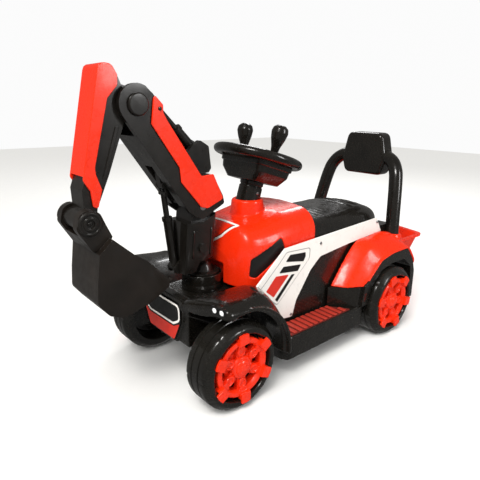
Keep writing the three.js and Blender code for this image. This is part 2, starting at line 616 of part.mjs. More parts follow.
// ---- cylinders ----------------------------------------------------------------------------
/** A cylinder's barrel with its foot eye, and its rod with a forked head. */
function cylinder(name, foot, head, barrelRadius, rodRadius, barrelLength, eyeHole, rodInside) {
  const mouth = along(foot, head, barrelLength);
  const collarStart = along(foot, head, barrelLength - 8);
  const barrel = cut(
    join(
      bar(point(foot), point(mouth), barrelRadius),
      bar(point(collarStart), point(mouth), barrelRadius + 1.8),
      drum(foot, barrelRadius - 1, -9, 9, 14),
    ),
    bar(point(along(foot, head, 12)), point(along(foot, head, barrelLength + 5)),
      rodRadius + 0.4, rodRadius + 0.4, 12),
    drum(foot, eyeHole, -20, 20, 12),
  );
  piece(`${name}_barrel`, barrel, BLACK);
  const length = Math.hypot(head[0] - foot[0], head[1] - foot[1]);
  const neckEnd = along(foot, head, length - 18);
  const ear = (x0, x1) => join(drum(head, 8, x0, x1, 12),
    bar(point(neckEnd, (x0 + x1) / 2), point(head, (x0 + x1) / 2), (x1 - x0) / 2, (x1 - x0) / 2, 12));
  piece(`${name}_rod`, join(
    bar(point(along(foot, head, barrelLength - rodInside)), point(neckEnd), rodRadius, rodRadius, 12),
    bar(point(neckEnd, -12.6), point(neckEnd, 12.6), 4.5, 4.5, 12),
    ear(8.6, 12.6), ear(-12.6, -8.6),
  ), BLACK);
}
cylinder('boom_cylinder', BOOM_CYLINDER_FOOT, BOOM_CYLINDER_HEAD, 9, 6, 113, 4.4, 40);
cylinder('stick_cylinder', STICK_CYLINDER_FOOT, STICK_HORN, 10.5, 6.5, 62, 4.4, 25);

// ---- roll bar's line ----------------------------------------------------------------------
const ROLL_TUBE = 18.5;
const postPath = [
  [142, 601, 237], [134, 611, 300], [120, 629, 392], [108, 640, 432], [84, 650, 456], [46, 654, 464],
];
const rollPath = [...postPath, ...postPath.map(([x, y, z]) => [-x, y, z]).reverse()];
const rollRoom = tube(rollPath, ROLL_TUBE + 0.7, 24);

// ---- body ---------------------------------------------------------------------------------
/** The body's side view: three steps, under the hood, under its raised rear edge and under the seat. */
const bodySteps = (frontY, rearY, lowZ, wall) => [
  [frontY, lowZ], [frontY, HOOD_BASE_Z - wall],
  [HOOD_STEP_Y + wall, HOOD_BASE_Z - wall], [HOOD_STEP_Y + wall, HOOD_STEP_Z - wall],
  [HOOD_REAR_Y + wall, HOOD_STEP_Z - wall], [HOOD_REAR_Y + wall, SEAT_BASE_Z - wall],
  [rearY, SEAT_BASE_Z - wall], [rearY, lowZ],
];
const bodySide = bodySteps(BODY_FRONT_Y, BODY_REAR_Y, BODY_BOTTOM_Z, GAP);
const bodyHollow = bodySteps(BODY_FRONT_Y - 10, BODY_REAR_Y - 5, BODY_BOTTOM_Z - 10, 6);
piece('lower_body', cut(
  side(bodySide, -BODY_HALF_WIDTH, BODY_HALF_WIDTH),
  side(bodyHollow, -BODY_HALF_WIDTH + 5, BODY_HALF_WIDTH - 5),
  drum(REAR_AXLE, AXLE_RADIUS + GAP, -200, 200, 20),
  rollRoom,
), BLACK);
piece('floor_pan', plan([[-124, 100, 8], [124, 100, 8], [124, 612, 8], [-124, 612, 8]],
  BODY_BOTTOM_Z - 6, BODY_BOTTOM_Z - GAP), BLACK);

piece('rear_axle',
  bar([-REAR_WHEEL_X - 12, ...REAR_AXLE], [REAR_WHEEL_X + 12, ...REAR_AXLE], AXLE_RADIUS), STEEL);
piece('drive_gearbox', cut(
  side([[478, 66, 6], [478, 112, 10], [500, 140, 10], [570, 140, 12], [576, 66, 6]], 60, 112),
  drum(REAR_AXLE, AXLE_RADIUS + GAP, 40, 130, 20)), GREY);
piece('battery_pack', box([-50, 330, BODY_BOTTOM_Z + GAP], [50, 450, 150]), GREY);

const footboard = plan([[BODY_HALF_WIDTH + GAP, 131 + GAP], [FOOTBOARD_OUTER_X, 131 + GAP, 24],
  [FOOTBOARD_OUTER_X, 419, 6], [BODY_HALF_WIDTH + GAP, 419]], FOOTBOARD_BOTTOM_Z, FOOTBOARD_TOP_Z);
pair('footboard', cut(footboard, drum(REAR_AXLE, REAR_ARCH_RADIUS, 100, 220, 36)), BLACK);

const GRIP_RIBS = 12;
const gripPlan = [[132, 142, 4], [184, 140, 8], [184, 372, 4], [132, 336, 4]];
const gripPlate = plan(gripPlan, FOOTBOARD_TOP_Z + GAP, FOOTBOARD_TOP_Z + 2);
const gripBars = Array.from({ length: GRIP_RIBS }, (_, i) => {
  const y = 148 + i * 18;
  return box([120, y, FOOTBOARD_TOP_Z + 1], [200, y + 10, FOOTBOARD_TOP_Z + 4.5]);
});
pair('step_grip', join(gripPlate, join(...gripBars).intersect(plan(gripPlan, 0, 200))), RED);

// ---- hood ---------------------------------------------------------------------------------
/** A ring across the digger: straight sides, round shoulders and a crowned top. */
function archRing(y, halfWidth, baseZ, topZ, shoulder, crown = 4) {
  const right = [[halfWidth, baseZ]];
  const steps = 6;
  for (let i = 0; i <= steps; i++) {
    const angle = Math.PI / 2 * i / steps;
    right.push([halfWidth - shoulder * (1 - Math.cos(angle)),
      topZ - shoulder * 0.95 * (1 - Math.sin(angle))]);
  }
  right.push([halfWidth * 0.2, topZ + crown]);
  const left = right.map(([x, z]) => [-x, z]).reverse();
  return [...right, ...left].map(([x, z]) => [x, y, z]);
}
/** Rings from [y, half width, top z, shoulder] stations, drawn in by a wall thickness. */
const hoodLoft = (stations, baseZ, wall = 0) => loft(stations.map(([y, halfWidth, topZ, shoulder]) =>
  archRing(y, halfWidth - wall, baseZ, topZ - wall, shoulder)));
const hoodStations = [[73, 60, 284, 34], [77, 76, 302, 40], [86, 92, 326, 46], [100, 104, 342, 52],
  [130, 112, 346, 56], [165, 118, 352, 58], [215, 121, 361, 60], [HOOD_REAR_Y, 121, 367, 58]];
const hoodInside = [[81, 66, 288, 32], [87, 84, 314, 40], [100, 98, 335, 48], [130, 107, 341, 54],
  [165, 113, 347, 56], [215, 116, 356, 58], [HOOD_REAR_Y - 5, 116, 362, 56]];
const toWorld = ([x, y, z]) => new THREE.Vector3(x, y, z)
  .applyAxisAngle(new THREE.Vector3(1, 0, 0), -STEERING_LEAN)
  .add(new THREE.Vector3(...STEERING_CENTRE)).toArray();
const tower = bar([0, 178, 320], [0, 178, 388], 42, 36, 24);
const NOTCH_TOP_Z = 256;
const notchSide = (radius, z0, z1) => bar([0, TURRET_Y, z0], [0, TURRET_Y, z1], radius, radius, 32);
const notchWall = notchSide(TURRET_RADIUS + 7, HOOD_BASE_Z, NOTCH_TOP_Z + 4);
const turretNotch = notchSide(TURRET_RADIUS + 3, HOOD_BASE_Z - 5, NOTCH_TOP_Z);
const rearStep = box([-200, HOOD_STEP_Y, 200], [200, 300, HOOD_STEP_Z]);
const towerBore = bar(toWorld([0, 0, COLUMN_END_Z - 3]), toWorld([0, 0, -80]), COLUMN_RADIUS + 0.5,
  COLUMN_RADIUS + 0.5, 24);
const shaftBore = bar(toWorld([0, 0, -200]), toWorld([0, 0, -100]), AXLE_RADIUS + 1.5);
const ventOutline = [[96, 237, 4], [100, 276, 6], [180, 316, 6], [191, 286, 4], [114, 232, 4]];
const ventRecess = side(ventOutline, 100, 140);
piece('hood', cut(
  join(cut(hoodLoft(hoodStations, HOOD_BASE_Z), hoodLoft(hoodInside, HOOD_BASE_Z - 10)),
    cut(tower, hoodLoft(hoodInside, HOOD_BASE_Z - 10, -1)),
    notchWall.intersect(hoodLoft(hoodStations, HOOD_BASE_Z))),
  turretNotch, towerBore, shaftBore, ventRecess, mirrored(ventRecess), rearStep,
), RED);
const ventInner = side(ventOutline.map(([y, z, r]) => [y + (143 - y) * 0.02, z + (270 - z) * 0.02, r]),
  100, 140);
pair('hood_vent', cut(
  ventInner.intersect(hoodLoft(hoodStations, HOOD_BASE_Z, 1.5)),
  hoodLoft(hoodStations, HOOD_BASE_Z - 10, 5)), BLACK);

// ---- white side panels --------------------------------------------------------------------
const panelSide = [
  [86, 217, 3], [176, 122, 3], [210, 118, 6], [222, 157, 20], [268, 222, 20], [302, 250, 20], [421, 262, 30],
  [560, 271, 2], [535, 311, 5], [272, 297, 10], [178, 293, 6],
];
const PANEL_X = BODY_HALF_WIDTH + GAP;
pair('side_panel', side(panelSide, PANEL_X, PANEL_X + 5), WHITE);
const panelRoom = side(panelSide, PANEL_X - GAP, PANEL_X + 5 + GAP);
piece('front_shell', cut(frontShell, panelRoom, mirrored(panelRoom),
  hoodLoft(hoodStations, HOOD_BASE_Z - GAP, -GAP)), BLACK);

// ---- seat ---------------------------------------------------------------------------------
const seatStations = [[HOOD_REAR_Y + GAP, 117, 336, 46], [340, 117, 334, 46], [430, 116, 332, 46],
  [500, 112, 335, 48], [550, 104, 335, 48], [586, 92, 325, 36], [BODY_REAR_Y - 4, 78, 310, 22]];
const seatInside = [
  [HOOD_REAR_Y + 5, 112, 331, 43], [430, 111, 327, 43], [550, 99, 329, 44], [600, 76, 311, 24],
];
piece('seat', cut(hoodLoft(seatStations, SEAT_BASE_Z), hoodLoft(seatInside, SEAT_BASE_Z - 10)), BLACK);

// ---- rear body ----------------------------------------------------------------------------
const rearRing = (x, points, bottomZ) => [...points, [points.at(-1)[0], bottomZ], [points[0][0], bottomZ]]
  .map(([y, z]) => [x, y, z]);
const trimOutline = [
  [405, 60], [405, 122], [413, 161], [440, 184, 8], [478, 216, 16], [528, 226, 14], [604, 227, 20],
  [640, 188, 14],
  [655, 150, 10], [658, 60],
];
/** The room for an arch trim: its outline grown from the axle by an air gap. */
const trimRoomOutline = trimOutline.map(([y, z, r]) =>
  [y + (y - WHEELBASE) * GAP / 90, z + (z - TYRE_RADIUS) * GAP / 90, r]);
const TRIM_INNER_X = BODY_HALF_WIDTH + 5 + 2 * GAP;
const trimRoom = side(trimRoomOutline, BODY_HALF_WIDTH + 1, 230, 4);
const FENDER_FOOT_Z = 160;     // lower edge of the fender, in front of the wheel
const innerLine = [
  [348, 158], [372, 190], [402, 226], [444, 263], [500, 268], [556, 271], [620, 252], [652, 214],
];
const middleLine = [
  [372, 158], [396, 188], [426, 222], [466, 250], [518, 255], [576, 253], [628, 232], [650, 196],
];
const outerLine = [
  [410, 158], [424, 173], [442, 188], [478, 218], [528, 229], [600, 230], [628, 209], [645, 187],
];
const edgeLine = [
  [412, 158], [426, 171], [443, 185], [479, 214], [528, 226.5], [599, 227.5], [626, 206], [642, 185],
];
const rearFender = cut(
  loft([rearRing(TRIM_INNER_X, innerLine, 120), rearRing(146, innerLine.map(([y, z]) => [y + 5, z - 3]), 120),
    rearRing(168, middleLine, 120), rearRing(190, outerLine, 120), rearRing(196, edgeLine, 120)]),
  trimRoom,
  box([100, 300, 100], [220, 441, FENDER_FOOT_Z]),
  box([100, 600, 100], [220, 700, 150]),
);
const crossPiece = front([
  [-150, 150], [-150, 240, 12], [-125, 262, 10], [125, 262, 10], [150, 240, 12], [150, 150],
], BODY_REAR_Y + GAP, 649);
const postSocket = (sign) => bar([sign * 142, 600, 225], [sign * 140, 603, 262], 25, 25, 24);
piece('rear_body', cut(
  join(rearFender, mirrored(rearFender),
    cut(join(crossPiece, postSocket(1), postSocket(-1)), trimRoom, mirrored(trimRoom))),
  rollRoom,
  box([-BODY_HALF_WIDTH - GAP, 300, 100], [BODY_HALF_WIDTH + GAP, BODY_REAR_Y + GAP, 400]),
), RED);

const TRIM_FRONT_Z = FOOTBOARD_TOP_Z + GAP;   // the trim stands on the footboard
const trimRing = side([
  [405, TRIM_FRONT_Z], [405, 122], [413, 161], [440, 184, 8], [478, 216, 16], [528, 226, 14], [604, 227, 20],
  [640, 188, 14], [655, 150, 10], [658, 70], [643, 70], [640, 120, 10], [630, 170, 16], [592, 199, 22],
  [528, 199, 12], [484, 190, 14], [443, 154, 10], [429, TRIM_FRONT_Z],
], TRIM_INNER_X, 194, 4);
const trimFoot = plan([[TRIM_INNER_X, 340], [186, 396, 6], [188, 420], [TRIM_INNER_X, 420]],
  TRIM_FRONT_Z, FENDER_FOOT_Z - GAP);
pair('arch_trim', join(trimRing, trimFoot), BLACK);

// ---- storage bin --------------------------------------------------------------------------
const binRing = (halfX, y0, y1, bulge, z) => outline([[-halfX, y0, 6], [halfX, y0, 6], [halfX, y1, 26],
  [0, y1 + bulge, 60], [-halfX, y1, 26]]).getPoints(3).slice(0, -1).map(({ x, y }) => [x, y, z]);
const binOuter = loft([binRing(112, 650, 730, 22, 112), binRing(134, 650, 776, 36, RIM_Z - 8)]);
const binRim = loft([binRing(139, 650, 782, 37, RIM_Z - 8), binRing(141, 650, 784, 38, RIM_Z)]);
const binInner = loft([binRing(108, 655, 726, 20, 117), binRing(130, 655, 772, 34, RIM_Z + 2)]);
piece('storage_bin', cut(join(binOuter, binRim), binInner), RED);

// ---- roll bar and headrest ----------------------------------------------------------------
piece('roll_bar', tube(rollPath, ROLL_TUBE, 24), BLACK);
const headrestOuter = [
  [-57, 529, 18], [57, 529, 18], [75, 452, 14], [62, 409, 16], [-62, 409, 16], [-75, 452, 14],
];
piece('headrest', cut(front(headrestOuter, 632, 684, 4), rollRoom), BLACK);

export default digger;
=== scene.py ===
"""Looks of a ride-on toy digger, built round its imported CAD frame.

Shapes are written in millimetres in the digger's own axes: X to the driver's left, Y backwards
from the front axle, Z up from the ground. TO_ROW carries them into the frame's metres.
"""
import math

import bmesh
import bpy
import numpy as np
from mathutils import Matrix, Vector


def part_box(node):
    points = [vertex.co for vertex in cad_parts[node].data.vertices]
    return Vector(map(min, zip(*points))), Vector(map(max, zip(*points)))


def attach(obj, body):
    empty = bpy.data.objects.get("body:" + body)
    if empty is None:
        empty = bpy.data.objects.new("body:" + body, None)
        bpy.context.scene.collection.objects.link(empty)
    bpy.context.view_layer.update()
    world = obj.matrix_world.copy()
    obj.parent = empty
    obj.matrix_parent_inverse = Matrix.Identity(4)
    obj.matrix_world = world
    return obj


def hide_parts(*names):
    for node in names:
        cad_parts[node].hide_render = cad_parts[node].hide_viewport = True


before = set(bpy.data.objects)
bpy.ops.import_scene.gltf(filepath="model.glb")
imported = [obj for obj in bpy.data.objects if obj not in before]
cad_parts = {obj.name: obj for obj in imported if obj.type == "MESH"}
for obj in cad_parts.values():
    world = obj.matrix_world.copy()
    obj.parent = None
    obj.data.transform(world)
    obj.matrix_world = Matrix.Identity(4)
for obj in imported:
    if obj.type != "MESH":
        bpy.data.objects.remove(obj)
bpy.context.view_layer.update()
MM = 0.001


def middle(node):
    """Middle of a CAD node's box, in the row frame."""
    low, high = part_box(node)
    return (low + high) / 2


FRONT_WHEEL = middle("tyre_front_left")
REAR_WHEEL = middle("tyre_rear_left")
TO_ROW = Matrix.Translation((0, FRONT_WHEEL.y, 0)) @ Matrix.Scale(MM, 4)
TYRE_RADIUS = FRONT_WHEEL.z / MM
WHEELBASE = (REAR_WHEEL.y - FRONT_WHEEL.y) / MM
FRONT_AXLE = (0, TYRE_RADIUS)          # as (y, z)

GAP = 0.4                               # air between neighbouring pieces
TYRE_HALF_WIDTH = 38
CLAW_RADIUS = 77.6
CLAWS = 6
BODY_HALF_WIDTH = 126
BODY_REAR_Y = 613
DECK_Z = 200
HOOD_REAR_Y = 290
HOOD_BASE_Z = 211
HOOD_STEP = (248, 262)                  # behind this y the hood starts at this z
TURRET_Y = 43
SEAT_BASE_Z = 285
STEERING_CENTRE = Vector((0, 209, 482))
STEERING_LEAN = math.radians(16.95)
STEERING = Matrix.Translation(STEERING_CENTRE) @ Matrix.Rotation(-STEERING_LEAN, 4, "X")
COLUMN_RADIUS = 28
RIM_RADIUS = 95
RIM_TUBE = 12
ELBOW = (-121, 597)
BUCKET_PIVOT = (-228, 397)
BOOM_HALF_WIDTH = 40
STICK_HALF_WIDTH = 27
HUB_HALF_WIDTH = 47
PANEL_FACE_X = 131.4                   # outer face of the white side panels
FRONT_ARCH_RADIUS = 117
FRONT_LIP_RADIUS = 123


# ---- materials ------------------------------------------------------------------------------
def plastic(name, color, roughness, waviness=0.25, grain=0.06, coat=0.3, spread=0.1):
    """Moulded plastic: faint mottling, uneven gloss, a wavy skin and a fine grain."""
    material = bpy.data.materials.new(name)
    material.use_nodes = True
    nodes = material.node_tree.nodes
    links = material.node_tree.links
    shader = nodes["Principled BSDF"]
    shader.inputs["Coat Weight"].default_value = coat
    shader.inputs["Coat Roughness"].default_value = 0.08
    shader.inputs["Specular IOR Level"].default_value = 0.35
    shader.inputs["IOR"].default_value = 1.49
    place = nodes.new("ShaderNodeTexCoord")

    def noise(scale, detail):
        node = nodes.new("ShaderNodeTexNoise")
        node.inputs["Scale"].default_value = scale
        node.inputs["Detail"].default_value = detail
        links.new(place.outputs["Object"], node.inputs["Vector"])
        return node.outputs["Fac"]

    def spread_over(fac, low, high):
        node = nodes.new("ShaderNodeMapRange")
        node.inputs["From Min"].default_value = 0.3
        node.inputs["From Max"].default_value = 0.7
        node.inputs["To Min"].default_value = low
        node.inputs["To Max"].default_value = high
        links.new(fac, node.inputs["Value"])
        return node.outputs["Result"]

    tint = nodes.new("ShaderNodeMix")
    tint.data_type = "RGBA"
    tint.inputs["A"].default_value = (*[c * (1 - spread) for c in color], 1)
    tint.inputs["B"].default_value = (*[min(1, c * (1 + spread)) for c in color], 1)
    links.new(spread_over(noise(22, 4), 0, 1), tint.inputs["Factor"])
    links.new(tint.outputs["Result"], shader.inputs["Base Color"])
    links.new(spread_over(noise(60, 5), roughness * 0.8, roughness * 1.3), shader.inputs["Roughness"])

    wave = nodes.new("ShaderNodeBump")
    wave.inputs["Strength"].default_value = waviness
    wave.inputs["Distance"].default_value = 0.002
    links.new(noise(16, 2), wave.inputs["Height"])
    fine = nodes.new("ShaderNodeBump")
    fine.inputs["Strength"].default_value = grain
    fine.inputs["Distance"].default_value = 0.0002
    links.new(noise(900, 2), fine.inputs["Height"])
    links.new(wave.outputs["Normal"], fine.inputs["Normal"])
    links.new(fine.outputs["Normal"], shader.inputs["Normal"])
    return material


def metal(name, color, roughness):
    """Plated steel with uneven sheen."""
    material = plastic(name, color, roughness, waviness=0.05, grain=0.15, coat=0, spread=0.15)
    material.node_tree.nodes["Principled BSDF"].inputs["Metallic"].default_value = 1
    return material


RED = plastic("red_plastic_look", (0.80, 0.024, 0.003), 0.27, coat=0.3, spread=0.06)
BLACK = plastic("black_plastic_look", (0.0068, 0.0058, 0.0045), 0.26, coat=0.6, spread=0.3)
ARM_BLACK = plastic("arm_black_look", (0.0080, 0.0068, 0.0055), 0.33, waviness=0.3, coat=0.45, spread=0.3)
BUCKET_BLACK = plastic("bucket_black_look", (0.011, 0.0080, 0.0060), 0.36, waviness=0.35, coat=0.4,
                       spread=0.3)
TYRE_BLACK = plastic("tyre_black_look", (0.0080, 0.0072, 0.0058), 0.27, waviness=0.3, coat=0.6, spread=0.3)
WHITE = plastic("white_plastic_look", (0.84, 0.81, 0.77), 0.3, waviness=0.15, coat=0.3, spread=0.03)
LAMP = plastic("lamp_look", (0.86, 0.87, 0.88), 0.12, coat=1, spread=0.02)
STICKER_BLACK = plastic("sticker_black_look", (0.008, 0.008, 0.008), 0.4, waviness=0.1, coat=0.1)
STICKER_RED = plastic("sticker_red_look", (0.62, 0.018, 0.006), 0.35, waviness=0.1, coat=0.2)
LINE_GREY = plastic("sticker_line_look", (0.30, 0.29, 0.28), 0.4, waviness=0.1, coat=0.1)
GRIP_RED = plastic("grip_red_look", (0.36, 0.030, 0.018), 0.45, waviness=0.2, grain=0.2, coat=0.1)
# painted shade: a darkened copy of the grip red, for the gaps between the footboard ribs
GRIP_SHADE = plastic("grip_painted_shade_look", (0.13, 0.014, 0.010), 0.5, waviness=0.2, grain=0.2, coat=0.05)
GREY = plastic("grey_plastic_look", (0.10, 0.10, 0.11), 0.5, coat=0)
STEEL = metal("steel_look", (0.5, 0.5, 0.51), 0.3)


# ---- mesh helpers ---------------------------------------------------------------------------
def add_object(name, points, faces, pose=Matrix.Identity(4)):
    """A mesh object from millimetre points, its faces turned outwards."""
    mesh = bpy.data.meshes.new(name)
    mesh.from_pydata([tuple(p) for p in points], [], faces)
    mesh.transform(TO_ROW @ pose)
    work = bmesh.new()
    work.from_mesh(mesh)
    bmesh.ops.recalc_face_normals(work, faces=work.faces)
    work.to_mesh(mesh)
    work.free()
    obj = bpy.data.objects.new(name, mesh)
    bpy.context.scene.collection.objects.link(obj)
    return obj


def rounded(points, steps=5):
    """An outline of [u, v, corner radius] points with its corners rounded."""
    line = []
    for i, (u, v, *radius) in enumerate(points):
        corner = Vector((u, v))
        if not radius:
            line.append(corner)
            continue
        before = Vector(points[i - 1][:2]) - corner
        after = Vector(points[(i + 1) % len(points)][:2]) - corner
        room = 0.49 * min(before.length, after.length)
        reach = min(radius[0] / math.tan(before.angle(after) / 2), room)
        start = corner + before.normalized() * reach
        end = corner + after.normalized() * reach
        for step in range(steps + 1):
            t = step / steps
            line.append(start * (1 - t) ** 2 + corner * (2 * t * (1 - t)) + end * t * t)
    return line


def prism(name, line, lay, low, high, pose=Matrix.Identity(4)):
    """An outline given thickness; lay turns (u, v, w) into (x, y, z)."""
    count = len(line)
    points = [lay(u, v, w) for w in (low, high) for u, v in line]
    faces = [list(range(count)), list(range(count, 2 * count))]
    faces += [[i, (i + 1) % count, count + (i + 1) % count, count + i] for i in range(count)]
    return add_object(name, points, faces, pose)


def side(name, points, x0, x1, steps=5, pose=Matrix.Identity(4)):
    """A side view [y, z, r] from x0 to x1."""
    return prism(name, rounded(points, steps), lambda y, z, x: (x, y, z), x0, x1, pose)


def front(name, points, y0, y1, steps=5):
    """A front view [x, z, r] from y0 to y1."""
    return prism(name, rounded(points, steps), lambda x, z, y: (x, y, z), y0, y1)


def plan(name, points, z0, z1, steps=5, pose=Matrix.Identity(4)):
    """A plan [x, y, r] from z0 to z1."""
    return prism(name, rounded(points, steps), lambda x, y, z: (x, y, z), z0, z1, pose)


def block(name, low, high):
    """A box between two corners."""
    corners = [(low[0], low[1]), (high[0], low[1]), (high[0], high[1]), (low[0], high[1])]
    return plan(name, corners, low[2], high[2])


def loft(name, rings, pose=Matrix.Identity(4), capped=True):
    """A skin over rings with equal numbers of points."""
    count = len(rings[0])
    faces = []
    for r in range(len(rings) - 1):
        for i in range(count):
            a = r * count + i
            b = r * count + (i + 1) % count
            faces.append([a, b, b + count, a + count])
    if capped:
        faces.append(list(range(count)))
        faces.append(list(range((len(rings) - 1) * count, len(rings) * count)))
    return add_object(name, [p for ring in rings for p in ring], faces, pose)


def lathe(name, profile, pose, sides=64):
    """A closed profile of [radius, height, corner radius] turned about Z."""
    line = rounded(profile, 4)
    rings = []
    for s in range(sides):
        angle = 2 * math.pi * s / sides
        rings.append([(r * math.cos(angle), r * math.sin(angle), h) for r, h in line])
    return loft(name, rings + [rings[0]], pose, capped=False)


def glide(rows, steps):
    """Rows of numbers, with smooth rows filled in between them."""
    rows = np.array(rows, float)
    ends = np.concatenate([2 * rows[:1] - rows[1:2], rows, 2 * rows[-1:] - rows[-2:-1]])
    smooth = []
    for a, b, c, d in zip(ends, ends[1:], ends[2:], ends[3:]):
        for step in range(steps):
            t = step / steps
            cubic = (3 * b - a - 3 * c + d) * t ** 3 + (2 * a - 5 * b + 4 * c - d) * t ** 2
            smooth.append(0.5 * (cubic + (c - a) * t + 2 * b))
    smooth.append(rows[-1])
    return np.array(smooth)


def arc(centre, radius, start, end, steps):
    """Points of an arc in the (y, z) plane; angles in degrees from +Y towards +Z."""
    angles = [math.radians(start + (end - start) * i / steps) for i in range(steps + 1)]
    return [(centre[0] + radius * math.cos(a), centre[1] + radius * math.sin(a)) for a in angles]


def drum(name, centre, radius, x0, x1, sides=96):
    """A disc or drum along X about a (y, z) centre."""
    return side(name, arc(centre, radius, 0, 360 - 360 / sides, sides - 1), x0, x1)


def tube(name, path, radius, sides=28, steps=6, pose=Matrix.Identity(4)):
    """A round tube with flat ends along a smooth path."""
    line = [Vector(p) for p in glide(path, steps)]
    rings = []
    across = Vector((1, 0, 0))
    for i, here in enumerate(line):
        ahead = (line[min(i + 1, len(line) - 1)] - line[max(i - 1, 0)]).normalized()
        across = (across - ahead * across.dot(ahead)).normalized()
        up = ahead.cross(across)
        turns = [2 * math.pi * s / sides for s in range(sides)]
        rings.append([here + (across * math.cos(t) + up * math.sin(t)) * radius for t in turns])
    return loft(name, rings, pose)


def mirrored(obj, name):
    """A copy of an object on the other side of the X = 0 plane."""
    copy = bpy.data.objects.new(name, obj.data.copy())
    bpy.context.scene.collection.objects.link(copy)
    copy.data.transform(Matrix.Scale(-1, 4, (1, 0, 0)))
    copy.data.flip_normals()
    return copy


def apply_modifiers(obj):
    """Bakes an object's modifiers into its mesh."""
    bpy.context.view_layer.update()
    graph = bpy.context.evaluated_depsgraph_get()
    mesh = bpy.data.meshes.new_from_object(obj.evaluated_get(graph))
    obj.modifiers.clear()
    obj.data = mesh
    return obj


def combine(obj, operation, tools):
    """Joins tools to an object, or cuts them from it, and removes them."""
    for tool in tools:
        modifier = obj.modifiers.new("combine", "BOOLEAN")
        modifier.operation = operation
        modifier.object = tool
        modifier.solver = "EXACT"
        apply_modifiers(obj)
        bpy.data.objects.remove(tool)
    return obj


def cut(obj, *tools):
    return combine(obj, "DIFFERENCE", tools)


def join(obj, *tools):
    return combine(obj, "UNION", tools)


def gather(obj, *others):
    """Puts other objects' meshes into this one, without a boolean."""
    work = bmesh.new()
    for piece in (obj, *others):
        work.from_mesh(piece.data)
    work.to_mesh(obj.data)
    work.free()
    for piece in others:
        bpy.data.objects.remove(piece)
    return obj


def fuse(obj, voxel, rounds):
    """Melts overlapping solids into one moulded skin with soft edges; voxel in millimetres."""
    remesh = obj.modifiers.new("fuse", "REMESH")
    remesh.mode = "VOXEL"
    remesh.voxel_size = voxel * MM
    relax = obj.modifiers.new("relax", "SMOOTH")
    relax.factor = 0.5
    relax.iterations = rounds
    apply_modifiers(obj)
    obj.data.shade_smooth()
    return obj


def bevel(obj, width, segments=3, angle=32):
    """Rounds an object's hard edges; width in millimetres."""
    edge = obj.modifiers.new("edge", "BEVEL")
    edge.width = width * MM
    edge.segments = segments
    edge.limit_method = "ANGLE"
    edge.angle_limit = math.radians(angle)
    obj.data.shade_smooth()
    weigh = obj.modifiers.new("weigh", "WEIGHTED_NORMAL")
    weigh.keep_sharp = False
    return apply_modifiers(obj)


def from_cad(node, width, segments=3, angle=32):
    """A copy of a CAD node with its flats merged and its edges rounded."""
    obj = bpy.data.objects.new(node + "_look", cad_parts[node].data.copy())
    bpy.context.scene.collection.objects.link(obj)
    work = bmesh.new()
    work.from_mesh(obj.data)
    bmesh.ops.remove_doubles(work, verts=work.verts, dist=1e-5)
    bmesh.ops.dissolve_limit(work, angle_limit=math.radians(1), verts=work.verts, edges=work.edges)
    work.to_mesh(obj.data)
    work.free()
    return bevel(obj, width, segments, angle)


def dress(obj, material):
    obj.data.materials.clear()
    obj.data.materials.append(material)
    return obj


def stand(obj, body, material, slot, *nodes):
    """Gives a piece its material and body, and hides the CAD nodes it stands for."""
    dress(obj, material)
    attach(obj, body)
    if nodes:
        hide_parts(*nodes)
    return obj


def recast(node, body, material, slot, width, segments=3, angle=32):
    """Stands a softened copy in for a CAD node."""
    return stand(from_cad(node, width, segments, angle), body, material, slot, node)


HANDS = (("left", 1), ("right", -1))


def along_x(x, centre, sign=1, spin=0):
    """A pose whose local Z points outwards along X at a (y, z) centre."""
    turn = Matrix.Rotation(sign * math.pi / 2, 4, "Y") @ Matrix.Rotation(spin, 4, "Z")
    return Matrix.Translation((x, *centre)) @ turn


def screw(name, body, pose, radius=4.5, material=STEEL, slot="steel"):
    """A round screw head with a cross recess, its top facing local +Z."""
    head = lathe(name, [[0, 0], [radius, 0], [radius, 1.2, 0.8], [radius * 0.7, 2.2, 1], [0, 2.4]], pose, 24)
    slots = []
    for long_x, long_y in ((radius * 0.62, 0.5), (0.5, radius * 0.62)):
        corners = [[-long_x, -long_y], [long_x, -long_y], [long_x, long_y], [-long_x, long_y]]
        slots.append(plan("recess", corners, 1, 4, pose=pose))
    cut(head, *slots)
    head.data.shade_flat()
    return stand(head, body, material, slot)


# ---- wheels ---------------------------------------------------------------------------------
def tyre_mesh(name, pose):
    """A blow-moulded tyre: round shoulders, tread grooves and a moulded bead line."""
    w = TYRE_HALF_WIDTH
    bore = 7
    profile = [
        [bore, -30], [17, -30, 2], [17, 0, 3], [62, 4, 4], [68, -w, 5], [84, -w, 8],
        [TYRE_RADIUS, -w + 12, 9],
        [TYRE_RADIUS, -13], [TYRE_RADIUS - 2, -12], [TYRE_RADIUS - 2, -9], [TYRE_RADIUS, -8],
        [TYRE_RADIUS, 8], [TYRE_RADIUS - 2, 9], [TYRE_RADIUS - 2, 12], [TYRE_RADIUS, 13],
        [TYRE_RADIUS, w - 12, 9], [84, w, 8], [73, w, 4], [71, w - 24, 2], [bore, w - 24],
    ]
    line = rounded(profile, 4)
    blocks = 12
    sides = blocks * 12
    rings = []
    for s in range(sides):
        angle = 2 * math.pi * s / sides
        groove = 1.8 if s % 12 == 0 else 0
        ring = []
        for r, h in line:
            near_tread = max(0, min(1, (r - 80) / 10))
            depth = groove * near_tread * (1 if abs(h) > 14 else 0)
            ring.append(((r - depth) * math.cos(angle), (r - depth) * math.sin(angle), h))
        rings.append(ring)
    obj = loft(name, rings + [rings[0]], pose, capped=False)
    obj.data.shade_smooth()
    obj.data.set_sharp_from_angle(angle=math.radians(40))
    return obj


def turned_points(points, angle):
    c, s = math.cos(angle), math.sin(angle)
    return [[x * c - y * s, x * s + y * c, *r] for x, y, *r in points]


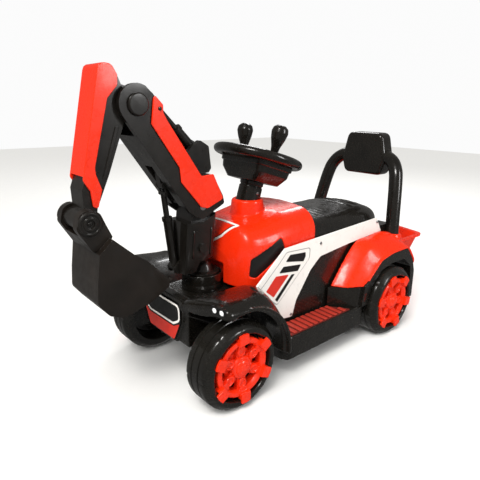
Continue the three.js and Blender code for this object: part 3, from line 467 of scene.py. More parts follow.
def cover_mesh(name, pose):
    """The clawed cover: a ring, six bossed spokes with open gaps, square claws and a stepped cap."""
    w = TYRE_HALF_WIDTH
    floor = w - 23
    web = lathe(name, [[0, floor], [37, floor, 1], [37, floor + 7, 2], [0, floor + 8]], pose, 72)
    ring_profile = [[50, floor], [64, floor], [64, w - 4, 2], [61, w - 1.5, 2], [54, w - 2, 2],
                    [50, w - 8, 3]]
    parts = [lathe("ring", ring_profile, pose, 72)]
    cap = [[0, floor + 3], [25, floor + 3], [25, w - 8, 3], [22, w - 4, 2], [18, w - 3.5, 1], [17, w - 1, 1],
           [13.5, w + 1, 2], [9, w + 1.5, 1], [8, w + 3, 1], [0, w + 3.4]]
    parts.append(lathe("cap", cap, pose, 48))
    for i in range(CLAWS):
        angle = 2 * math.pi * i / CLAWS
        spoke = [[12, -11, 2], [43, -11, 6], [56, -15, 2], [56, 15, 2], [43, 11, 6], [12, 11, 2]]
        parts.append(plan("spoke", turned_points(spoke, angle), floor + 2, w - 9, 3, pose))
        shoulder = [[46, -8, 2], [60, -11, 2], [60, 11, 2], [46, 8, 2]]
        parts.append(plan("shoulder", turned_points(shoulder, angle), floor + 3, w - 3.5, 2, pose))
        turned = pose @ Matrix.Rotation(angle, 4, "Z")
        boss_pose = turned @ Matrix.Translation((37, 0, 0)) @ Matrix.Diagonal((1.25, 1, 1, 1))
        boss = [[0, floor + 3], [10.5, floor + 3], [10.5, w - 7, 1.5], [9, w - 4.5, 1.5], [6.6, w - 4.5, 1],
                [5.6, w - 7, 1], [0, w - 7.4]]
        parts.append(lathe("boss", boss, boss_pose, 32))
        claw = [[55, -12, 1], [CLAW_RADIUS - 1, -11.5, 1.5], [CLAW_RADIUS + 0.5, 0, 4],
                [CLAW_RADIUS - 1, 11.5, 1.5], [55, 12, 1]]
        parts.append(plan("claw", turned_points(claw, angle), w + GAP, w + 5.5, 2, pose))
        root = [[54, -12, 1], [69, -12, 1], [69, 12, 1], [54, 12, 1]]
        parts.append(plan("root", turned_points(root, angle), w - 14, w + 3, 2, pose))
    for part in parts:
        bevel(part, 0.9, 2, 40)
    bevel(web, 0.8, 2, 40)
    return gather(web, *parts)


def build_wheels():
    for end, wheel, claw_turn in (("front", FRONT_WHEEL, 3), ("rear", REAR_WHEEL, 17)):
        for hand, sign in HANDS:
            centre = (wheel.y - FRONT_WHEEL.y) / MM
            pose = along_x(sign * wheel.x / MM, (centre, TYRE_RADIUS), sign, math.radians(claw_turn))
            body = f"wheel_{end}_{hand}"
            tyre = tyre_mesh(f"tyre_{end}_{hand}_look", pose)
            stand(tyre, body, TYRE_BLACK, "tyre_plastic", f"tyre_{end}_{hand}")
            cover = cover_mesh(f"cover_{end}_{hand}_look", pose)
            stand(cover, body, RED, "red_plastic", f"wheel_cover_{end}_{hand}")


# ---- hood and seat --------------------------------------------------------------------------
def arch_ring(y, half_width, base_z, top_z, shoulder, crown=4):
    """A ring across the digger: straight sides, round shoulders and a crowned top."""
    right = [(half_width, base_z)]
    for i in range(13):
        angle = math.pi / 2 * i / 12
        right.append((half_width - shoulder * (1 - math.cos(angle)),
                      top_z - shoulder * 0.95 * (1 - math.sin(angle))))
    for share in (0.75, 0.5, 0.25):
        x = share * (half_width - shoulder)
        right.append((x, top_z + crown * (1 - share ** 2)))
    left = [(-x, z) for x, z in reversed(right)]
    return [(x, y, z) for x, z in right + [(0, top_z + crown)] + left]


def arch_loft(name, stations, base_z, wall=0, steps=5):
    """A smooth skin over [y, half width, top z, shoulder] stations, drawn in by a wall."""
    rows = glide(stations, steps)
    rings = [arch_ring(y, half - wall, base_z, top - wall, shoulder) for y, half, top, shoulder in rows]
    return loft(name, rings)


HOOD_STATIONS = [[73, 60, 284, 34], [77, 76, 302, 40], [86, 92, 326, 46], [100, 104, 342, 52],
                 [130, 112, 346, 56], [165, 118, 352, 58], [215, 121, 361, 60], [HOOD_REAR_Y, 121, 367, 58]]
HOOD_INSIDE = [[81, 66, 288, 32], [87, 84, 314, 40], [100, 98, 335, 48], [130, 107, 341, 54],
               [165, 113, 347, 56], [215, 116, 356, 58], [HOOD_REAR_Y - 5, 116, 362, 56]]
VENT = [[96, 237, 4], [100, 276, 6], [180, 316, 6], [191, 286, 4], [114, 232, 4]]


def build_hood():
    hood = arch_loft("hood_look", HOOD_STATIONS, HOOD_BASE_Z)
    tower_pose = Matrix.Translation((0, 178, 320))
    tower = [[0, 0], [46, 0], [41, 30, 20], [38, 64, 4], [34, 68, 3], [0, 68]]
    join(hood, lathe("tower", tower, tower_pose, 64))
    notch_pose = Matrix.Translation((0, TURRET_Y, 0))
    bore = lathe("bore", [[0, -115], [28.8, -115], [28.8, -80], [0, -80]], STEERING, 48)
    shaft = lathe("shaft", [[0, -220], [9, -220], [9, -100], [0, -100]], STEERING, 24)
    inside = arch_loft("inside", HOOD_INSIDE, HOOD_BASE_Z - 10)
    cut(inside, lathe("notch_wall", [[0, 190], [55, 190], [55, 260], [0, 260]], notch_pose, 64))
    cut(hood, inside, bore, shaft, lathe("notch", [[0, 200], [50, 200], [50, 256], [0, 256]], notch_pose, 64),
        block("rear_step", (-200, HOOD_STEP[0], 200), (200, 300, HOOD_STEP[1])))
    for _, sign in HANDS:
        cut(hood, side("vent", VENT, sign * 100, sign * 140))
    fuse(hood, 1.8, 5)
    stand(hood, "chassis", RED, "red_plastic", "hood")
    build_hood_mark(hood)
    for hand, sign in HANDS:
        inset = [[y + (143 - y) * 0.02, z + (270 - z) * 0.02, r] for y, z, r in VENT]
        vent = side("vent", inset, sign * 95, sign * 140)
        skin = arch_loft("skin", HOOD_STATIONS, HOOD_BASE_Z, 2.2)
        modifier = vent.modifiers.new("trim", "BOOLEAN")
        modifier.operation = "INTERSECT"
        modifier.object = skin
        modifier.solver = "EXACT"
        apply_modifiers(vent)
        bpy.data.objects.remove(skin)
        vent.name = f"hood_vent_{hand}_look"
        bevel(vent, 1.2, 2, 45)
        stand(vent, "chassis", STICKER_BLACK, "black_plastic", f"hood_vent_{hand}")


def surface_band(name, skin, corners, width, lift, body, material, slot):
    """A closed sticker line that follows a skin, drawn through corners given in millimetres."""
    samples = []
    for start, end in zip(corners, corners[1:] + corners[:1]):
        steps = max(2, round((Vector(end) - Vector(start)).length / 3))
        samples += [Vector(start).lerp(Vector(end), i / steps) for i in range(steps)]
    inward = Vector((0, 0.6, -0.8))
    spots = []
    for sample in samples:
        _, spot, normal, _ = skin.ray_cast(TO_ROW @ sample - inward * 0.08, inward)
        spots.append((spot / MM - Vector((0, FRONT_WHEEL.y / MM, 0)), normal))
    rings = []
    for i, (spot, normal) in enumerate(spots):
        ahead = (spots[(i + 1) % len(spots)][0] - spots[i - 1][0]).normalized()
        out = normal.cross(ahead).normalized() * width / 2
        rings.append([spot + out * reach + normal * height
                      for reach, height in ((-1, -0.6), (1, -0.6), (1, lift), (-1, lift))])
    band = loft(name, rings + [rings[0]], capped=False)
    return stand(band, body, material, slot)


def build_hood_mark(hood):
    """A plain shield outline on the hood's front: a white line with a thin dark one inside it."""
    corners = [(-56, 97, 350), (56, 97, 350), (24, 84, 312), (0, 80, 296), (-24, 84, 312)]
    surface_band("hood_line", hood, corners, 5.5, 0.5, "chassis", WHITE, "white_plastic")
    inner = [(x * 0.86, y, 330 + (z - 330) * 0.8) for x, y, z in corners]
    surface_band("hood_line_inner", hood, inner, 1.6, 0.5, "chassis", STICKER_BLACK, "black_plastic")


SEAT_STATIONS = [[HOOD_REAR_Y + GAP, 117, 336, 46], [340, 117, 334, 46], [430, 116, 332, 46],
                 [500, 112, 335, 48], [550, 104, 335, 48], [586, 92, 325, 36], [BODY_REAR_Y - 4, 78, 310, 22]]


def build_seat():
    """A seat whose top carries fine contour ribs that follow the seat's outline."""
    stations = glide(SEAT_STATIONS, 4)
    ends = glide(stations, 6)
    rings = []
    for y, half, top, shoulder in ends:
        ring = []
        for x, ring_y, z in arch_ring(y, half, SEAT_BASE_Z, top, shoulder):
            reach = math.hypot(x / 92, (y - 450) / 150)
            on_top = max(0, min(1, (z - top + 22) / 12))
            inside = max(0, min(1, (1.02 - reach) * 8)) * max(0, min(1, (reach - 0.2) * 6))
            ribs = 1.1 * math.cos(2 * math.pi * reach * 9)
            ring.append((x, ring_y, z + ribs * on_top * inside))
        rings.append(ring)
    seat = loft("seat_look", rings)
    bevel(seat, 3, 3, 60)
    stand(seat, "chassis", BLACK, "black_plastic", "seat")


# ---- body shells ----------------------------------------------------------------------------
def fender_ring(x, front_y, low_z, top_z, fall):
    return [(x, y, z) for y, z in [(front_y, low_z), (front_y, top_z), *fall, (130, 86), (112, 86)]]


def build_front_shell():
    ridge = [(32, 234), (60, 231), (84, 214), (104, 188), (119, 161), (129, 136), (131, 118)]
    crown = [(30, 237), (58, 238), (82, 226), (103, 203), (120, 174), (130, 146), (131, 118)]
    inner = [(50, 232), (76, 230), (98, 222), (114, 208), (124, 190), (130, 160), (131, 118)]
    deck = [(60, 200), (90, 200), (110, 200), (126, 200), (130, 180), (130, 150), (131, 118)]
    lowered = [(y, z - 16) for y, z in inner]
    rings = [
        fender_ring(56, -60, 170, DECK_Z, deck),
        fender_ring(84, -58, 184, 218, lowered),
        fender_ring(122, -55, 197, 230, inner),
        fender_ring(162, -48, 209, 238, crown),
        fender_ring(186, -44, 210, 238, ridge),
        fender_ring(200, -42, 212, 233, arc(FRONT_AXLE, 131, 78, 10, 6)),
        fender_ring(208, -38, 214, 225, arc(FRONT_AXLE, 127, 78, 10, 6)),
    ]
    fine = [glide(ring, 4) for ring in rings]
    fender = loft("fender", glide(fine, 4))
    cut(fender, drum("arch", FRONT_AXLE, FRONT_ARCH_RADIUS, 92, 196),
        drum("lip", FRONT_AXLE, FRONT_LIP_RADIUS, 195, 220))
    bead_line = [(205, y, z) for y, z in [(-40, 218), *arc(FRONT_AXLE, 127.5, 98, 6, 12), (129, 89)]]
    bead = tube("bead", bead_line, 3.2, 16, 3)
    shell = gather(fender, bead, mirrored(fender, "fender_right"), mirrored(bead, "bead_right"))
    blocks = [
        block("block", (-88, -56, 112), (88, 131, DECK_Z)),
        block("block_low", (-88, -20, 62), (88, 131, 120)),
        block("bulkhead", (-BODY_HALF_WIDTH, 126, 62), (BODY_HALF_WIDTH, 150.6, DECK_Z)),
        front("nose", [[-84, 216, 8], [84, 216, 8], [77, 168, 8], [52, 112, 6], [-52, 112, 6], [-77, 168, 8]],
              -63, -40),
    ]
    gather(shell, *blocks)
    fuse(shell, 2.2, 0)
    panel = [[86, 217, 3], [176, 122, 3], [210, 118, 6], [222, 157, 20], [268, 222, 20], [302, 250, 20],
             [421, 262, 30], [560, 271, 2], [535, 311, 5], [272, 297, 10], [178, 293, 6]]
    cut(shell,
        block("hollow", (-83, -40, 50), (83, 140, 195)),
        block("hollow_rear", (-121, 131, 50), (121, 160, 195)),
        lathe("shaft", [[0, -420], [12, -420], [12, -200], [0, -200]], STEERING, 24),
        block("beam_notch", (-102, -12, 50), (102, 12, 123)),
        block("rod_notch", (-132, 26, 50), (132, 68, 95)),
        side("panel_left", panel, 125.5, 132),
        side("panel_right", panel, -132, -125.5),
        arch_loft("hood_room", HOOD_STATIONS, HOOD_BASE_Z - GAP, -GAP))
    relax = shell.modifiers.new("relax", "SMOOTH")
    relax.factor = 0.5
    relax.iterations = 4
    apply_modifiers(shell)
    shell.data.shade_smooth()
    stand(shell, "chassis", BLACK, "black_plastic", "front_shell")


POST_PATH = [(142, 601, 237), (134, 611, 300), (120, 629, 392), (108, 640, 432), (84, 650, 456),
             (46, 654, 464)]
ROLL_PATH = POST_PATH + [(-x, y, z) for x, y, z in reversed(POST_PATH)]
ROLL_TUBE = 18.5


TRIM_OUTLINE = [(405, 60), (405, 122), (413, 161), (440, 184, 8), (478, 216, 16), (528, 226, 14),
                (604, 227, 20), (640, 188, 14), (655, 150, 10), (658, 60)]


def trim_room(low_x, high_x):
    """The space an arch trim takes, grown from the axle until its nearest edge has an air gap."""
    growth = GAP / 90
    grown = [[y + (y - WHEELBASE) * growth, z + (z - TYRE_RADIUS) * growth, *r]
             for y, z, *r in TRIM_OUTLINE]
    return side("trim_room", grown, low_x, high_x, 6)


def build_rear_body():
    inner = [(348, 158), (372, 190), (402, 226), (444, 263), (500, 268), (556, 271), (620, 252), (652, 214)]
    middle_line = [(372, 158), (396, 188), (426, 222), (466, 250), (518, 255), (576, 253), (628, 232),
                   (650, 196)]
    outer = [(410, 158), (424, 176), (441, 192), (477, 222), (528, 232), (602, 232), (630, 211), (648, 188)]
    edge = [(410, 158), (424, 174), (441, 190), (477, 220), (528, 230), (602, 230), (629, 209), (646, 187)]
    start_x = BODY_HALF_WIDTH + 5.8
    near = [(y + 5, z - 3) for y, z in inner]
    lines = [(start_x, inner), (146, near), (168, middle_line), (190, outer), (196, edge)]
    fine = [[(x, y, z) for y, z in glide(line, 5)] for x, line in lines]
    rings = [[*row, (row[0][0], row[-1][1], 120), (row[0][0], row[0][1], 120)] for row in glide(fine, 4)]
    fender = loft("rear_fender", rings)
    cut(fender,
        trim_room(100, 230),
        block("foot", (100, 300, 100), (220, 441, 160)),
        block("tail", (100, 600, 100), (220, 700, 150)))
    cross_line = [[-150, 150], [-150, 240, 12], [-125, 262, 10], [125, 262, 10], [150, 240, 12],
                  [150, 150]]
    cross = front("rear_body_look", cross_line, BODY_REAR_Y + GAP, 649)
    sockets = []
    for _, sign in HANDS:
        socket_pose = Matrix.Translation((sign * 142, 601, 225)) @ Matrix.Rotation(math.radians(-4), 4, "X")
        sockets.append(lathe("socket", [[0, 0], [26, 0], [25, 34, 4], [0, 38]], socket_pose, 48))
    join(cross, *sockets)
    cut(cross, trim_room(127, 230), trim_room(-230, -127))
    gather(cross, fender, mirrored(fender, "rear_fender_right"))
    fuse(cross, 2.2, 0)
    cut(cross, tube("room", ROLL_PATH, ROLL_TUBE + 0.7),
        block("body_room", (-BODY_HALF_WIDTH - GAP, 300, 100),
              (BODY_HALF_WIDTH + GAP, BODY_REAR_Y + GAP, 400)))
    relax = cross.modifiers.new("relax", "SMOOTH")
    relax.factor = 0.5
    relax.iterations = 5
    apply_modifiers(cross)
    cross.data.shade_smooth()
    stand(cross, "chassis", RED, "red_plastic", "rear_body")


def build_arch_trims():
    """Black flared trims round the rear wheels, with a rolled lip."""
    for hand, _ in HANDS:
        recast(f"arch_trim_{hand}", "chassis", BLACK, "black_plastic", 3, 4, 35)


def build_bin():
    def ring(half_x, y0, y1, bulge, z):
        line = rounded([[-half_x, y0, 6], [half_x, y0, 6], [half_x, y1, 26], [0, y1 + bulge, 60],
                        [-half_x, y1, 26]], 8)
        return [(u, v, z) for u, v in line]
    rim_z = 228
    shell = loft("storage_bin_look", [
        ring(112, 650, 730, 22, 112), ring(134, 650, 774, 36, rim_z - 7), ring(141, 650, 783, 38, rim_z - 7),
        ring(141, 650, 784, 38, rim_z), ring(132, 655, 773, 34, rim_z), ring(129, 655, 771, 33, rim_z - 4),
        ring(108, 655, 726, 20, 117)])
    bevel(shell, 1.6, 3, 25)
    stand(shell, "chassis", RED, "red_plastic", "storage_bin")


def build_roll_bar():
    bar = tube("roll_bar_look", ROLL_PATH, ROLL_TUBE, 40, 8)
    bevel(bar, 1.5, 2, 60)
    stand(bar, "chassis", BLACK, "black_plastic", "roll_bar")
    outline = [[-57, 529, 22], [57, 529, 22], [75, 452, 18], [62, 409, 20], [-62, 409, 20], [-75, 452, 18]]
    pad = front("headrest_look", outline, 633, 683, 8)
    bevel(pad, 9, 5, 50)
    cut(pad, tube("room", ROLL_PATH, ROLL_TUBE + 0.6, 40, 8))
    stand(pad, "chassis", BLACK, "black_plastic", "headrest")


# ---- side panels, plate, lamps and footboards -----------------------------------------------
def decal(name, points, material, slot, sign, lift=0.0, body="chassis", face_x=PANEL_FACE_X):
    """A thin sticker on a face that looks along X."""
    low, high = face_x + 0.1 + lift, face_x + 0.45 + lift
    piece = side(name, points, sign * low, sign * high, 3)
    return stand(piece, body, material, slot)


def build_side_panels():
    for hand, sign in HANDS:
        recast(f"side_panel_{hand}", "chassis", WHITE, "white_plastic", 1.6, 3, 40)
        line = [[98, 210, 6], [157, 162, 8], [262, 254, 14], [263, 281, 8], [182, 285, 10], [158, 262, 8]]
        inset = [[y + (190 - y) * 0.03, z + (228 - z) * 0.03, r] for y, z, r in line]
        ring = side(f"decal_line_{hand}", line, sign * (PANEL_FACE_X + 0.1), sign * (PANEL_FACE_X + 0.35), 4)
        cut(ring, side("inset", inset, sign * (PANEL_FACE_X - 1), sign * (PANEL_FACE_X + 2), 4))
        stand(ring, "chassis", LINE_GREY, "black_plastic")
        decal(f"decal_upper_{hand}",
              [[180, 262, 2], [194, 276, 2], [246, 272, 2], [247, 262, 3], [240, 251, 2]],
              STICKER_BLACK, "black_plastic", sign)
        decal(f"decal_middle_{hand}", [[160, 239, 2], [173, 252, 2], [232, 245, 2], [222, 231, 2]],
              STICKER_BLACK, "black_plastic", sign)
        decal(f"decal_red_{hand}", [[121, 205, 2], [150, 234, 2], [192, 229, 2], [145, 185, 2]],
              STICKER_RED, "red_plastic", sign)
        decal(f"decal_slash_{hand}", [[150, 178, 1], [201, 227, 1], [212, 226, 1], [157, 171, 1]],
              STICKER_BLACK, "black_plastic", sign)
        for y, z in ((205, 126), (300, 284), (536, 300)):
            pose = along_x(sign * (PANEL_FACE_X + 0.1), (y, z), sign)
            screw(f"panel_screw_{hand}_{y}", "chassis", pose, 3.6)


def build_plate():
    """A blank generic plate: dark field, pale rounded frame line and a red lower band."""
    back = -66.4
    outline = [[-72, 205, 10], [72, 205, 10], [73, 165, 8], [50, 118, 6], [-50, 118, 6], [-73, 165, 8]]
    base = front("number_plate_look", outline, back, back + 3, 6)
    bevel(base, 1, 3, 35)
    stand(base, "chassis", STICKER_BLACK, "black_plastic", "number_plate")
    frame_line = [[-71, 204, 15], [71, 204, 15], [72, 169, 14], [48, 154, 14], [-48, 154, 14], [-72, 169, 14]]
    hole = [[x * 0.94, 180 + (z - 180) * 0.82, r * 0.8] for x, z, r in frame_line]
    ring = front("plate_frame", frame_line, back - 0.6, back - 0.05, 6)
    cut(ring, front("hole", hole, back - 2, back + 2, 6))
    stand(ring, "chassis", WHITE, "white_plastic")
    band_line = [[-71, 163, 2], [-48, 150, 8], [48, 150, 8], [71, 163, 2], [49, 120, 4], [-49, 120, 4]]
    band = front("plate_band", band_line, back - 0.6, back - 0.05)
    stand(band, "chassis", STICKER_RED, "red_plastic")


def build_headlights():
    """A dark bezel with two small lamps, lying on the fender's slanting front."""
    slope = 1 / 6
    for hand, sign in HANDS:
        housing = from_cad(f"headlight_{hand}", 0.8, 2, 35)
        stand(housing, "chassis", STICKER_BLACK, "black_plastic", f"headlight_{hand}")
        for x in (171, 189):
            face_y = -48 + (x - 162) * slope - 5.8
            pose = Matrix.Translation((sign * x, face_y, 227))
            pose = pose @ Matrix.Rotation(sign * math.atan(slope), 4, "Z")
            pose = pose @ Matrix.Rotation(math.pi / 2, 4, "X")
            ring_profile = [[5.4, -1], [7.6, -1], [7.6, 1.2, 0.4], [5.4, 1.2, 0.4]]
            ring = lathe(f"lamp_ring_{hand}_{x}", ring_profile, pose, 32)
            ring.data.shade_smooth()
            stand(ring, "chassis", STICKER_BLACK, "black_plastic")
            lamp_profile = [[0, -1], [5.6, -1], [5.6, 0.5, 0.3], [3, 1.3, 0.8], [0, 1.6]]
            lamp = lathe(f"lamp_{hand}_{x}", lamp_profile, pose, 32)
            lamp.data.shade_smooth()
            stand(lamp, "chassis", LAMP, "lamp_plastic")


def build_footboards():
    """Footboards with a red ribbed grip, each rib a rounded bar across the step; the grip's base shows
    between the ribs in a darker red, painted shade for the gaps.
    """
    top_z = 107
    ribs, pitch, rib_length = 12, 18, 11
    rear_cut = ((132, 336), (184, 372))     # the grip's slanting rear edge as (x, y)
    for hand, sign in HANDS:
        recast(f"footboard_{hand}", "chassis", BLACK, "black_plastic", 5, 4, 40)
        outline = [[132, 142, 4], [184, 140, 8], [184, 372, 4], [132, 336, 4]]
        # the grip's base shows between the ribs in the darker red: painted shade for the gaps
        base = plan(f"step_grip_{hand}_look", [[sign * x, y, r] for x, y, r in outline],
                    top_z + GAP, top_z + 1.8)
        stand(base, "chassis", GRIP_SHADE, "red_plastic", f"step_grip_{hand}")
        for i in range(ribs):
            y = 146 + i * pitch
            near_x = 133.5
            overrun = y + rib_length - rear_cut[0][1]
            if overrun > 0:
                near_x += overrun * (rear_cut[1][0] - rear_cut[0][0]) / (rear_cut[1][1] - rear_cut[0][1])
            corners = [[near_x, y, 2], [182.5, y, 3], [182.5, y + rib_length, 3], [near_x, y + rib_length, 2]]
            rib = plan(f"grip_rib_{hand}_{i}", [[sign * x, v, r] for x, v, r in corners],
                       top_z + 1.7, top_z + 4.6)
            bevel(rib, 1.2, 2, 35)
            stand(rib, "chassis", GRIP_RED, "red_plastic")


# ---- steering -------------------------------------------------------------------------------
def build_steering():
    sides, tube_sides = 96, 20
    rings = []
    for s in range(sides + 1):
        a = 2 * math.pi * s / sides
        ring = []
        for t in range(tube_sides):
            b = 2 * math.pi * t / tube_sides
            r = RIM_RADIUS + RIM_TUBE * math.cos(b)
            ring.append((r * math.cos(a), r * math.sin(a), RIM_TUBE * 0.92 * math.sin(b)))
        rings.append(ring)
    rim = loft("steering_wheel_look", rings, STEERING, capped=False)
    pad = plan("pad", [[-76, -30, 18], [76, -30, 18], [76, 34, 18], [-76, 34, 18]], -6, 6, 8, STEERING)
    bar = plan("bar", [[-92, -15, 3], [92, -15, 3], [92, 15, 3], [-92, 15, 3]], -5, 4, 4, STEERING)
    lower = plan("lower", [[-22, 20, 3], [22, 20, 3], [16, 92, 3], [-16, 92, 3]], -5, 4, 4, STEERING)
    gather(rim, pad, bar, lower)
    fuse(rim, 1.6, 3)
    for x in (46, -46):
        slot = [[x - 14, -23, 9], [x + 14, -23, 9], [x + 14, 23, 9], [x - 14, 23, 9]]
        cut(rim, plan("slot", slot, -20, 20, 6, STEERING))
    stand(rim, "steering", BLACK, "black_plastic", "steering_wheel")

    def hub_ring(half_x, half_y, corner, z):
        line = rounded([[-half_x, -half_y, corner], [half_x, -half_y, corner], [half_x, half_y, corner],
                        [-half_x, half_y, corner]], 6)
        return [(u, v, z) for u, v in line]
    hub = loft("steering_hub_look", [
        hub_ring(54, 40, 16, -58), hub_ring(70, 50, 18, -36), hub_ring(71.5, 51.5, 18, -22),
        hub_ring(74.5, 54.5, 18, -21), hub_ring(75, 55, 18, -6.4)], STEERING)
    for x in (46, -46):
        well_pose = STEERING @ Matrix.Translation((x, 0, -34))
        cut(hub, lathe("well", [[0, 0], [21, 0], [21, 40], [0, 40]], well_pose, 40))
    cut(hub, lathe("shaft", [[0, -60], [6.5, -60], [6.5, -38], [0, -38]], STEERING, 32))
    bevel(hub, 1.6, 3, 25)
    stand(hub, "steering", BLACK, "black_plastic", "steering_hub")

    column = lathe("steering_column_look", [
        [6.4, -58.4], [COLUMN_RADIUS, -58.4, 1], [COLUMN_RADIUS, -66, 1], [COLUMN_RADIUS - 2, -67, 1],
        [COLUMN_RADIUS - 2, -70, 1], [COLUMN_RADIUS, -71, 1], [COLUMN_RADIUS, -112],
        [6.4, -112]], STEERING, 64)
    bevel(column, 0.6, 2, 40)
    stand(column, "steering", BLACK, "black_plastic", "steering_column")
    screw_pose = STEERING @ Matrix.Translation((COLUMN_RADIUS - 1, 0, -84))
    screw_pose = screw_pose @ Matrix.Rotation(math.pi / 2, 4, "Y")
    screw("column_screw", "steering", screw_pose, 3.6)
    recast("steering_shaft", "steering", STEEL, "steel", 0.5, 2, 50)


def build_levers():
    profile = [[0, -9], [7, -7, 1], [9, 0, 2], [6, 8, 3], [7.5, 30, 12], [10.5, 50, 10], [16.5, 68, 14],
               [19.5, 83, 10], [17, 93, 7], [9, 99, 6], [0, 99]]
    for hand, sign in HANDS:
        pose = STEERING @ Matrix.Translation((sign * 46, 0, -22))
        pose = pose @ Matrix.Rotation(math.radians(5), 4, "X")
        pose = pose @ Matrix.Rotation(sign * math.radians(9), 4, "Y")
        lever = lathe(f"lever_{hand}_look", profile, pose, 48)
        bevel(lever, 0.4, 2, 60)
        stand(lever, f"lever_{hand}_body", BLACK, "black_plastic", f"lever_{hand}")


# ---- arm ------------------------------------------------------------------------------------
def hub_disc(name, body, centre, sign, inner_x, profile):
    """A pivot's round cap, turned about X from a profile."""
    disc = lathe(name, profile, along_x(sign * inner_x, centre, sign), 64)
    bevel(disc, 0.3, 2, 50)
    return stand(disc, body, ARM_BLACK, "black_plastic")


ELBOW_CAP = [[0, 0], [20, 0], [20, 4, 1.5], [17.5, 5.6, 1.5], [0, 5.8]]
BUCKET_CAP = [[0, 0], [22, 0], [22, 3, 1], [20, 4.6, 1], [17, 4.6, 1], [16, 3, 1], [13, 3, 1], [12, 5, 1],
              [8, 5, 1], [7, 1.5, 1], [0, 1.5]]


def build_boom():
    recast("boom", "boom_arm", ARM_BLACK, "black_plastic", 2.4, 4, 38)
    recast("boom_bracket", "boom_arm", ARM_BLACK, "black_plastic", 1.5, 3, 40)
    for hand, sign in HANDS:
        recast(f"boom_panel_{hand}", "boom_arm", RED, "red_plastic", 1.6, 3, 40)
        pose = along_x(sign * (BOOM_HALF_WIDTH + 4), (-79, 590), sign)
        screw(f"boom_screw_{hand}", "boom_arm", pose, 3.6, ARM_BLACK, "black_plastic")
        hub_disc(f"elbow_disc_{hand}", "boom_arm", ELBOW, sign, BOOM_HALF_WIDTH + GAP, ELBOW_CAP)
    pin = drum("elbow_pin_look", ELBOW, 9, -BOOM_HALF_WIDTH, BOOM_HALF_WIDTH, 40)
    bevel(pin, 0.4, 2, 50)
    stand(pin, "boom_arm", ARM_BLACK, "black_plastic", "elbow_pin")
    recast("boom_pin", "boom_arm", STEEL, "steel", 0.6, 2, 50)


def build_stick():
    recast("stick", "stick_arm", ARM_BLACK, "black_plastic", 2, 3, 38)
    recast("stick_cover", "stick_arm", RED, "red_plastic", 2.2, 4, 35)
    rib_line = [[-160, 560, 3], [-153, 560, 3], [-184, 470, 3], [-191, 468, 3]]
    for hand, sign in HANDS:
        rib = side(f"stick_rib_{hand}", rib_line,
                   sign * (STICK_HALF_WIDTH - 0.5), sign * (STICK_HALF_WIDTH + 2), 4)
        bevel(rib, 1, 2, 40)
        stand(rib, "stick_arm", ARM_BLACK, "black_plastic")
        boss_profile = [[0, 0], [5, 0], [5, 1.6, 1], [2.6, 1.8, 0.5], [2.4, 0.6], [0, 0.6]]
        boss = lathe(f"stick_screw_boss_{hand}", boss_profile,
                     along_x(sign * STICK_HALF_WIDTH, (-197, 446), sign), 28)
        boss.data.shade_smooth()
        stand(boss, "stick_arm", ARM_BLACK, "black_plastic")


def build_bucket():
    recast("bucket", "bucket_body", BUCKET_BLACK, "black_plastic", 2.2, 4, 35)
    pin = drum("bucket_pin_look", BUCKET_PIVOT, 8, -HUB_HALF_WIDTH, HUB_HALF_WIDTH, 40)
    bevel(pin, 0.4, 2, 50)
    stand(pin, "bucket_body", BUCKET_BLACK, "black_plastic", "bucket_pin")
    for hand, sign in HANDS:
        hub_disc(f"bucket_disc_{hand}", "bucket_body", BUCKET_PIVOT, sign, HUB_HALF_WIDTH, BUCKET_CAP)
        pose = along_x(sign * (HUB_HALF_WIDTH + 1.5), BUCKET_PIVOT, sign)
        screw(f"bucket_screw_{hand}", "bucket_body", pose, 4.5, ARM_BLACK, "black_plastic")


def build_turret():
    """The turret's rimmed drum and the slewing column with its ribs and screws."""
    base_pose = Matrix.Translation((0, TURRET_Y, 0))
    base = lathe("turret_base_look", [
        [0, 200.4], [47, 200.4, 1], [47, 208, 3], [45.5, 214, 4], [45.5, 236, 1.5], [42, 236, 1.5],
        [41.5, 229, 2], [0, 229]], base_pose, 96)
    base.data.shade_smooth()
    base.data.set_sharp_from_angle(angle=math.radians(50))
    stand(base, "chassis", BLACK, "black_plastic", "turret_base")
    recast("slew_column", "turret", ARM_BLACK, "black_plastic", 2, 3, 38)
    for angle in (-20, 60, 140, 220):
        turn = math.radians(angle)
        spot = (35 * math.cos(turn), TURRET_Y + 35 * math.sin(turn), 239)
        screw(f"turret_screw_{angle}", "turret", Matrix.Translation(spot), 3.6, ARM_BLACK, "black_plastic")
    for _, sign in HANDS:
        for y in (-8, 38):
            rib_line = [(sign * (33.6 + (z - 250) * 5 / 106), y + (z - 250) * 0.05, z)
                        for z in (284, 300, 320, 346)]
            rib = tube("column_rib", rib_line, 1.8, 12, 3)
            rib.data.shade_smooth()
            stand(rib, "turret", ARM_BLACK, "black_plastic")


def build_cylinders():
    for part in ("boom", "stick"):
        recast(f"{part}_cylinder_barrel", f"{part}_barrel", ARM_BLACK, "black_plastic", 0.8, 2, 45)
        recast(f"{part}_cylinder_rod", f"{part}_rod", ARM_BLACK, "black_plastic", 0.6, 2, 45)


def build_running_gear():
    for hand, _ in HANDS:
        recast(f"knuckle_{hand}", f"knuckle_{hand}_body", STEEL, "steel", 0.5, 2, 45)
    recast("tie_rod", "tie_rod_body", STEEL, "steel", 0.5, 2, 45)
    recast("front_beam", "chassis", GREY, "grey_plastic", 0.8, 2, 45)
    recast("rear_axle", "chassis", STEEL, "steel", 0.6, 2, 50)
    recast("battery_pack", "chassis", GREY, "grey_plastic", 3, 3, 50)
    recast("drive_gearbox", "chassis", GREY, "grey_plastic", 1.5, 2, 45)
    recast("floor_pan", "chassis", BLACK, "black_plastic", 1.2, 2, 45)
    recast("lower_body", "chassis", BLACK, "black_plastic", 2, 3, 45)


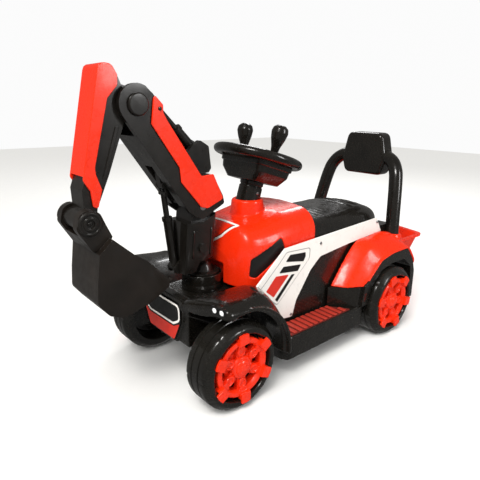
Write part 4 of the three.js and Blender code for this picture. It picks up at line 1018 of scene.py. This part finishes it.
# ---- floor, light and camera ----------------------------------------------------------------
def build_stage():
    mesh = bpy.data.meshes.new("floor")
    half = 6
    corners = [(-half, -half, 0), (half, -half, 0), (half, half, 0), (-half, half, 0)]
    mesh.from_pydata(corners, [], [(0, 1, 2, 3)])
    floor = bpy.data.objects.new("floor", mesh)
    bpy.context.scene.collection.objects.link(floor)
    dress(floor, plastic("floor_look", (0.86, 0.86, 0.85), 0.7, waviness=0.02, grain=0, coat=0, spread=0.01))
    floor.visible_glossy = False
    world = bpy.data.worlds.new("studio")
    bpy.context.scene.world = world
    bpy.context.scene.view_settings.view_transform = "Standard"
    world.use_nodes = True
    nodes, links = world.node_tree.nodes, world.node_tree.links
    room = nodes["Background"]
    room.inputs["Color"].default_value = (1, 0.98, 0.95, 1)
    room.inputs["Strength"].default_value = 0.18
    backdrop = nodes.new("ShaderNodeBackground")
    backdrop.inputs["Color"].default_value = (1, 1, 1, 1)
    backdrop.inputs["Strength"].default_value = 0.97
    seen = nodes.new("ShaderNodeLightPath")
    mix = nodes.new("ShaderNodeMixShader")
    links.new(seen.outputs["Is Camera Ray"], mix.inputs["Fac"])
    links.new(room.outputs["Background"], mix.inputs[1])
    links.new(backdrop.outputs["Background"], mix.inputs[2])
    links.new(mix.outputs["Shader"], nodes["World Output"].inputs["Surface"])


def area_light(name, spot, target, size, power, color=(1, 1, 1)):
    light = bpy.data.lights.new(name, "AREA")
    light.shape = "RECTANGLE"
    light.size, light.size_y = size
    light.energy = power
    light.color = color
    obj = bpy.data.objects.new(name, light)
    obj.location = spot
    obj.rotation_euler = (Vector(target) - Vector(spot)).to_track_quat("-Z", "Y").to_euler()
    bpy.context.scene.collection.objects.link(obj)


def build_lights():
    """A very soft sun from the front left, with softboxes for the plastic's highlights."""
    sun = bpy.data.lights.new("sun", "SUN")
    sun.energy = 3.1
    sun.angle = math.radians(50)
    sun.color = (1, 0.99, 0.97)
    holder = bpy.data.objects.new("sun", sun)
    holder.rotation_euler = Vector((-0.35, 0.75, -1.1)).to_track_quat("-Z", "Y").to_euler()
    holder.visible_glossy = False
    bpy.context.scene.collection.objects.link(holder)
    target = (0, -0.05, 0.3)
    area_light("key", (0.9, -1.6, 2.2), target, (0.7, 0.5), 30, (1, 0.98, 0.95))
    area_light("side", (2.4, 0.9, 1.3), target, (0.5, 1.2), 22)
    area_light("back", (-1.6, 1.8, 2.2), target, (1.2, 0.6), 26)


def build_camera():
    """The photograph's viewpoint: three-quarter front from the digger's left."""
    yaw, pitch, roll = math.radians(49.07), math.radians(16.56), math.radians(0.83)
    back = Vector((math.sin(yaw) * math.cos(pitch), -math.cos(yaw) * math.cos(pitch), math.sin(pitch)))
    right = Vector((math.cos(yaw), math.sin(yaw), 0))
    up = back.cross(right)
    right, up = right * math.cos(roll) + up * math.sin(roll), up * math.cos(roll) - right * math.sin(roll)
    lens = bpy.data.cameras.new("camera")
    lens.lens = 33.54
    lens.sensor_width = 36
    lens.clip_start = 0.05
    camera = bpy.data.objects.new("camera", lens)
    turn = Matrix((right, up, back)).transposed().to_4x4()
    camera.matrix_world = Matrix.Translation((0.7818, -0.8052, 0.5948)) @ turn
    bpy.context.scene.collection.objects.link(camera)
    bpy.context.scene.camera = camera


build_wheels()
build_running_gear()
build_front_shell()
build_hood()
build_seat()
build_rear_body()
build_arch_trims()
build_bin()
build_roll_bar()
build_side_panels()
build_plate()
build_headlights()
build_footboards()
build_steering()
build_levers()
build_turret()
build_boom()
build_stick()
build_bucket()
build_cylinders()
build_stage()
build_lights()
build_camera()
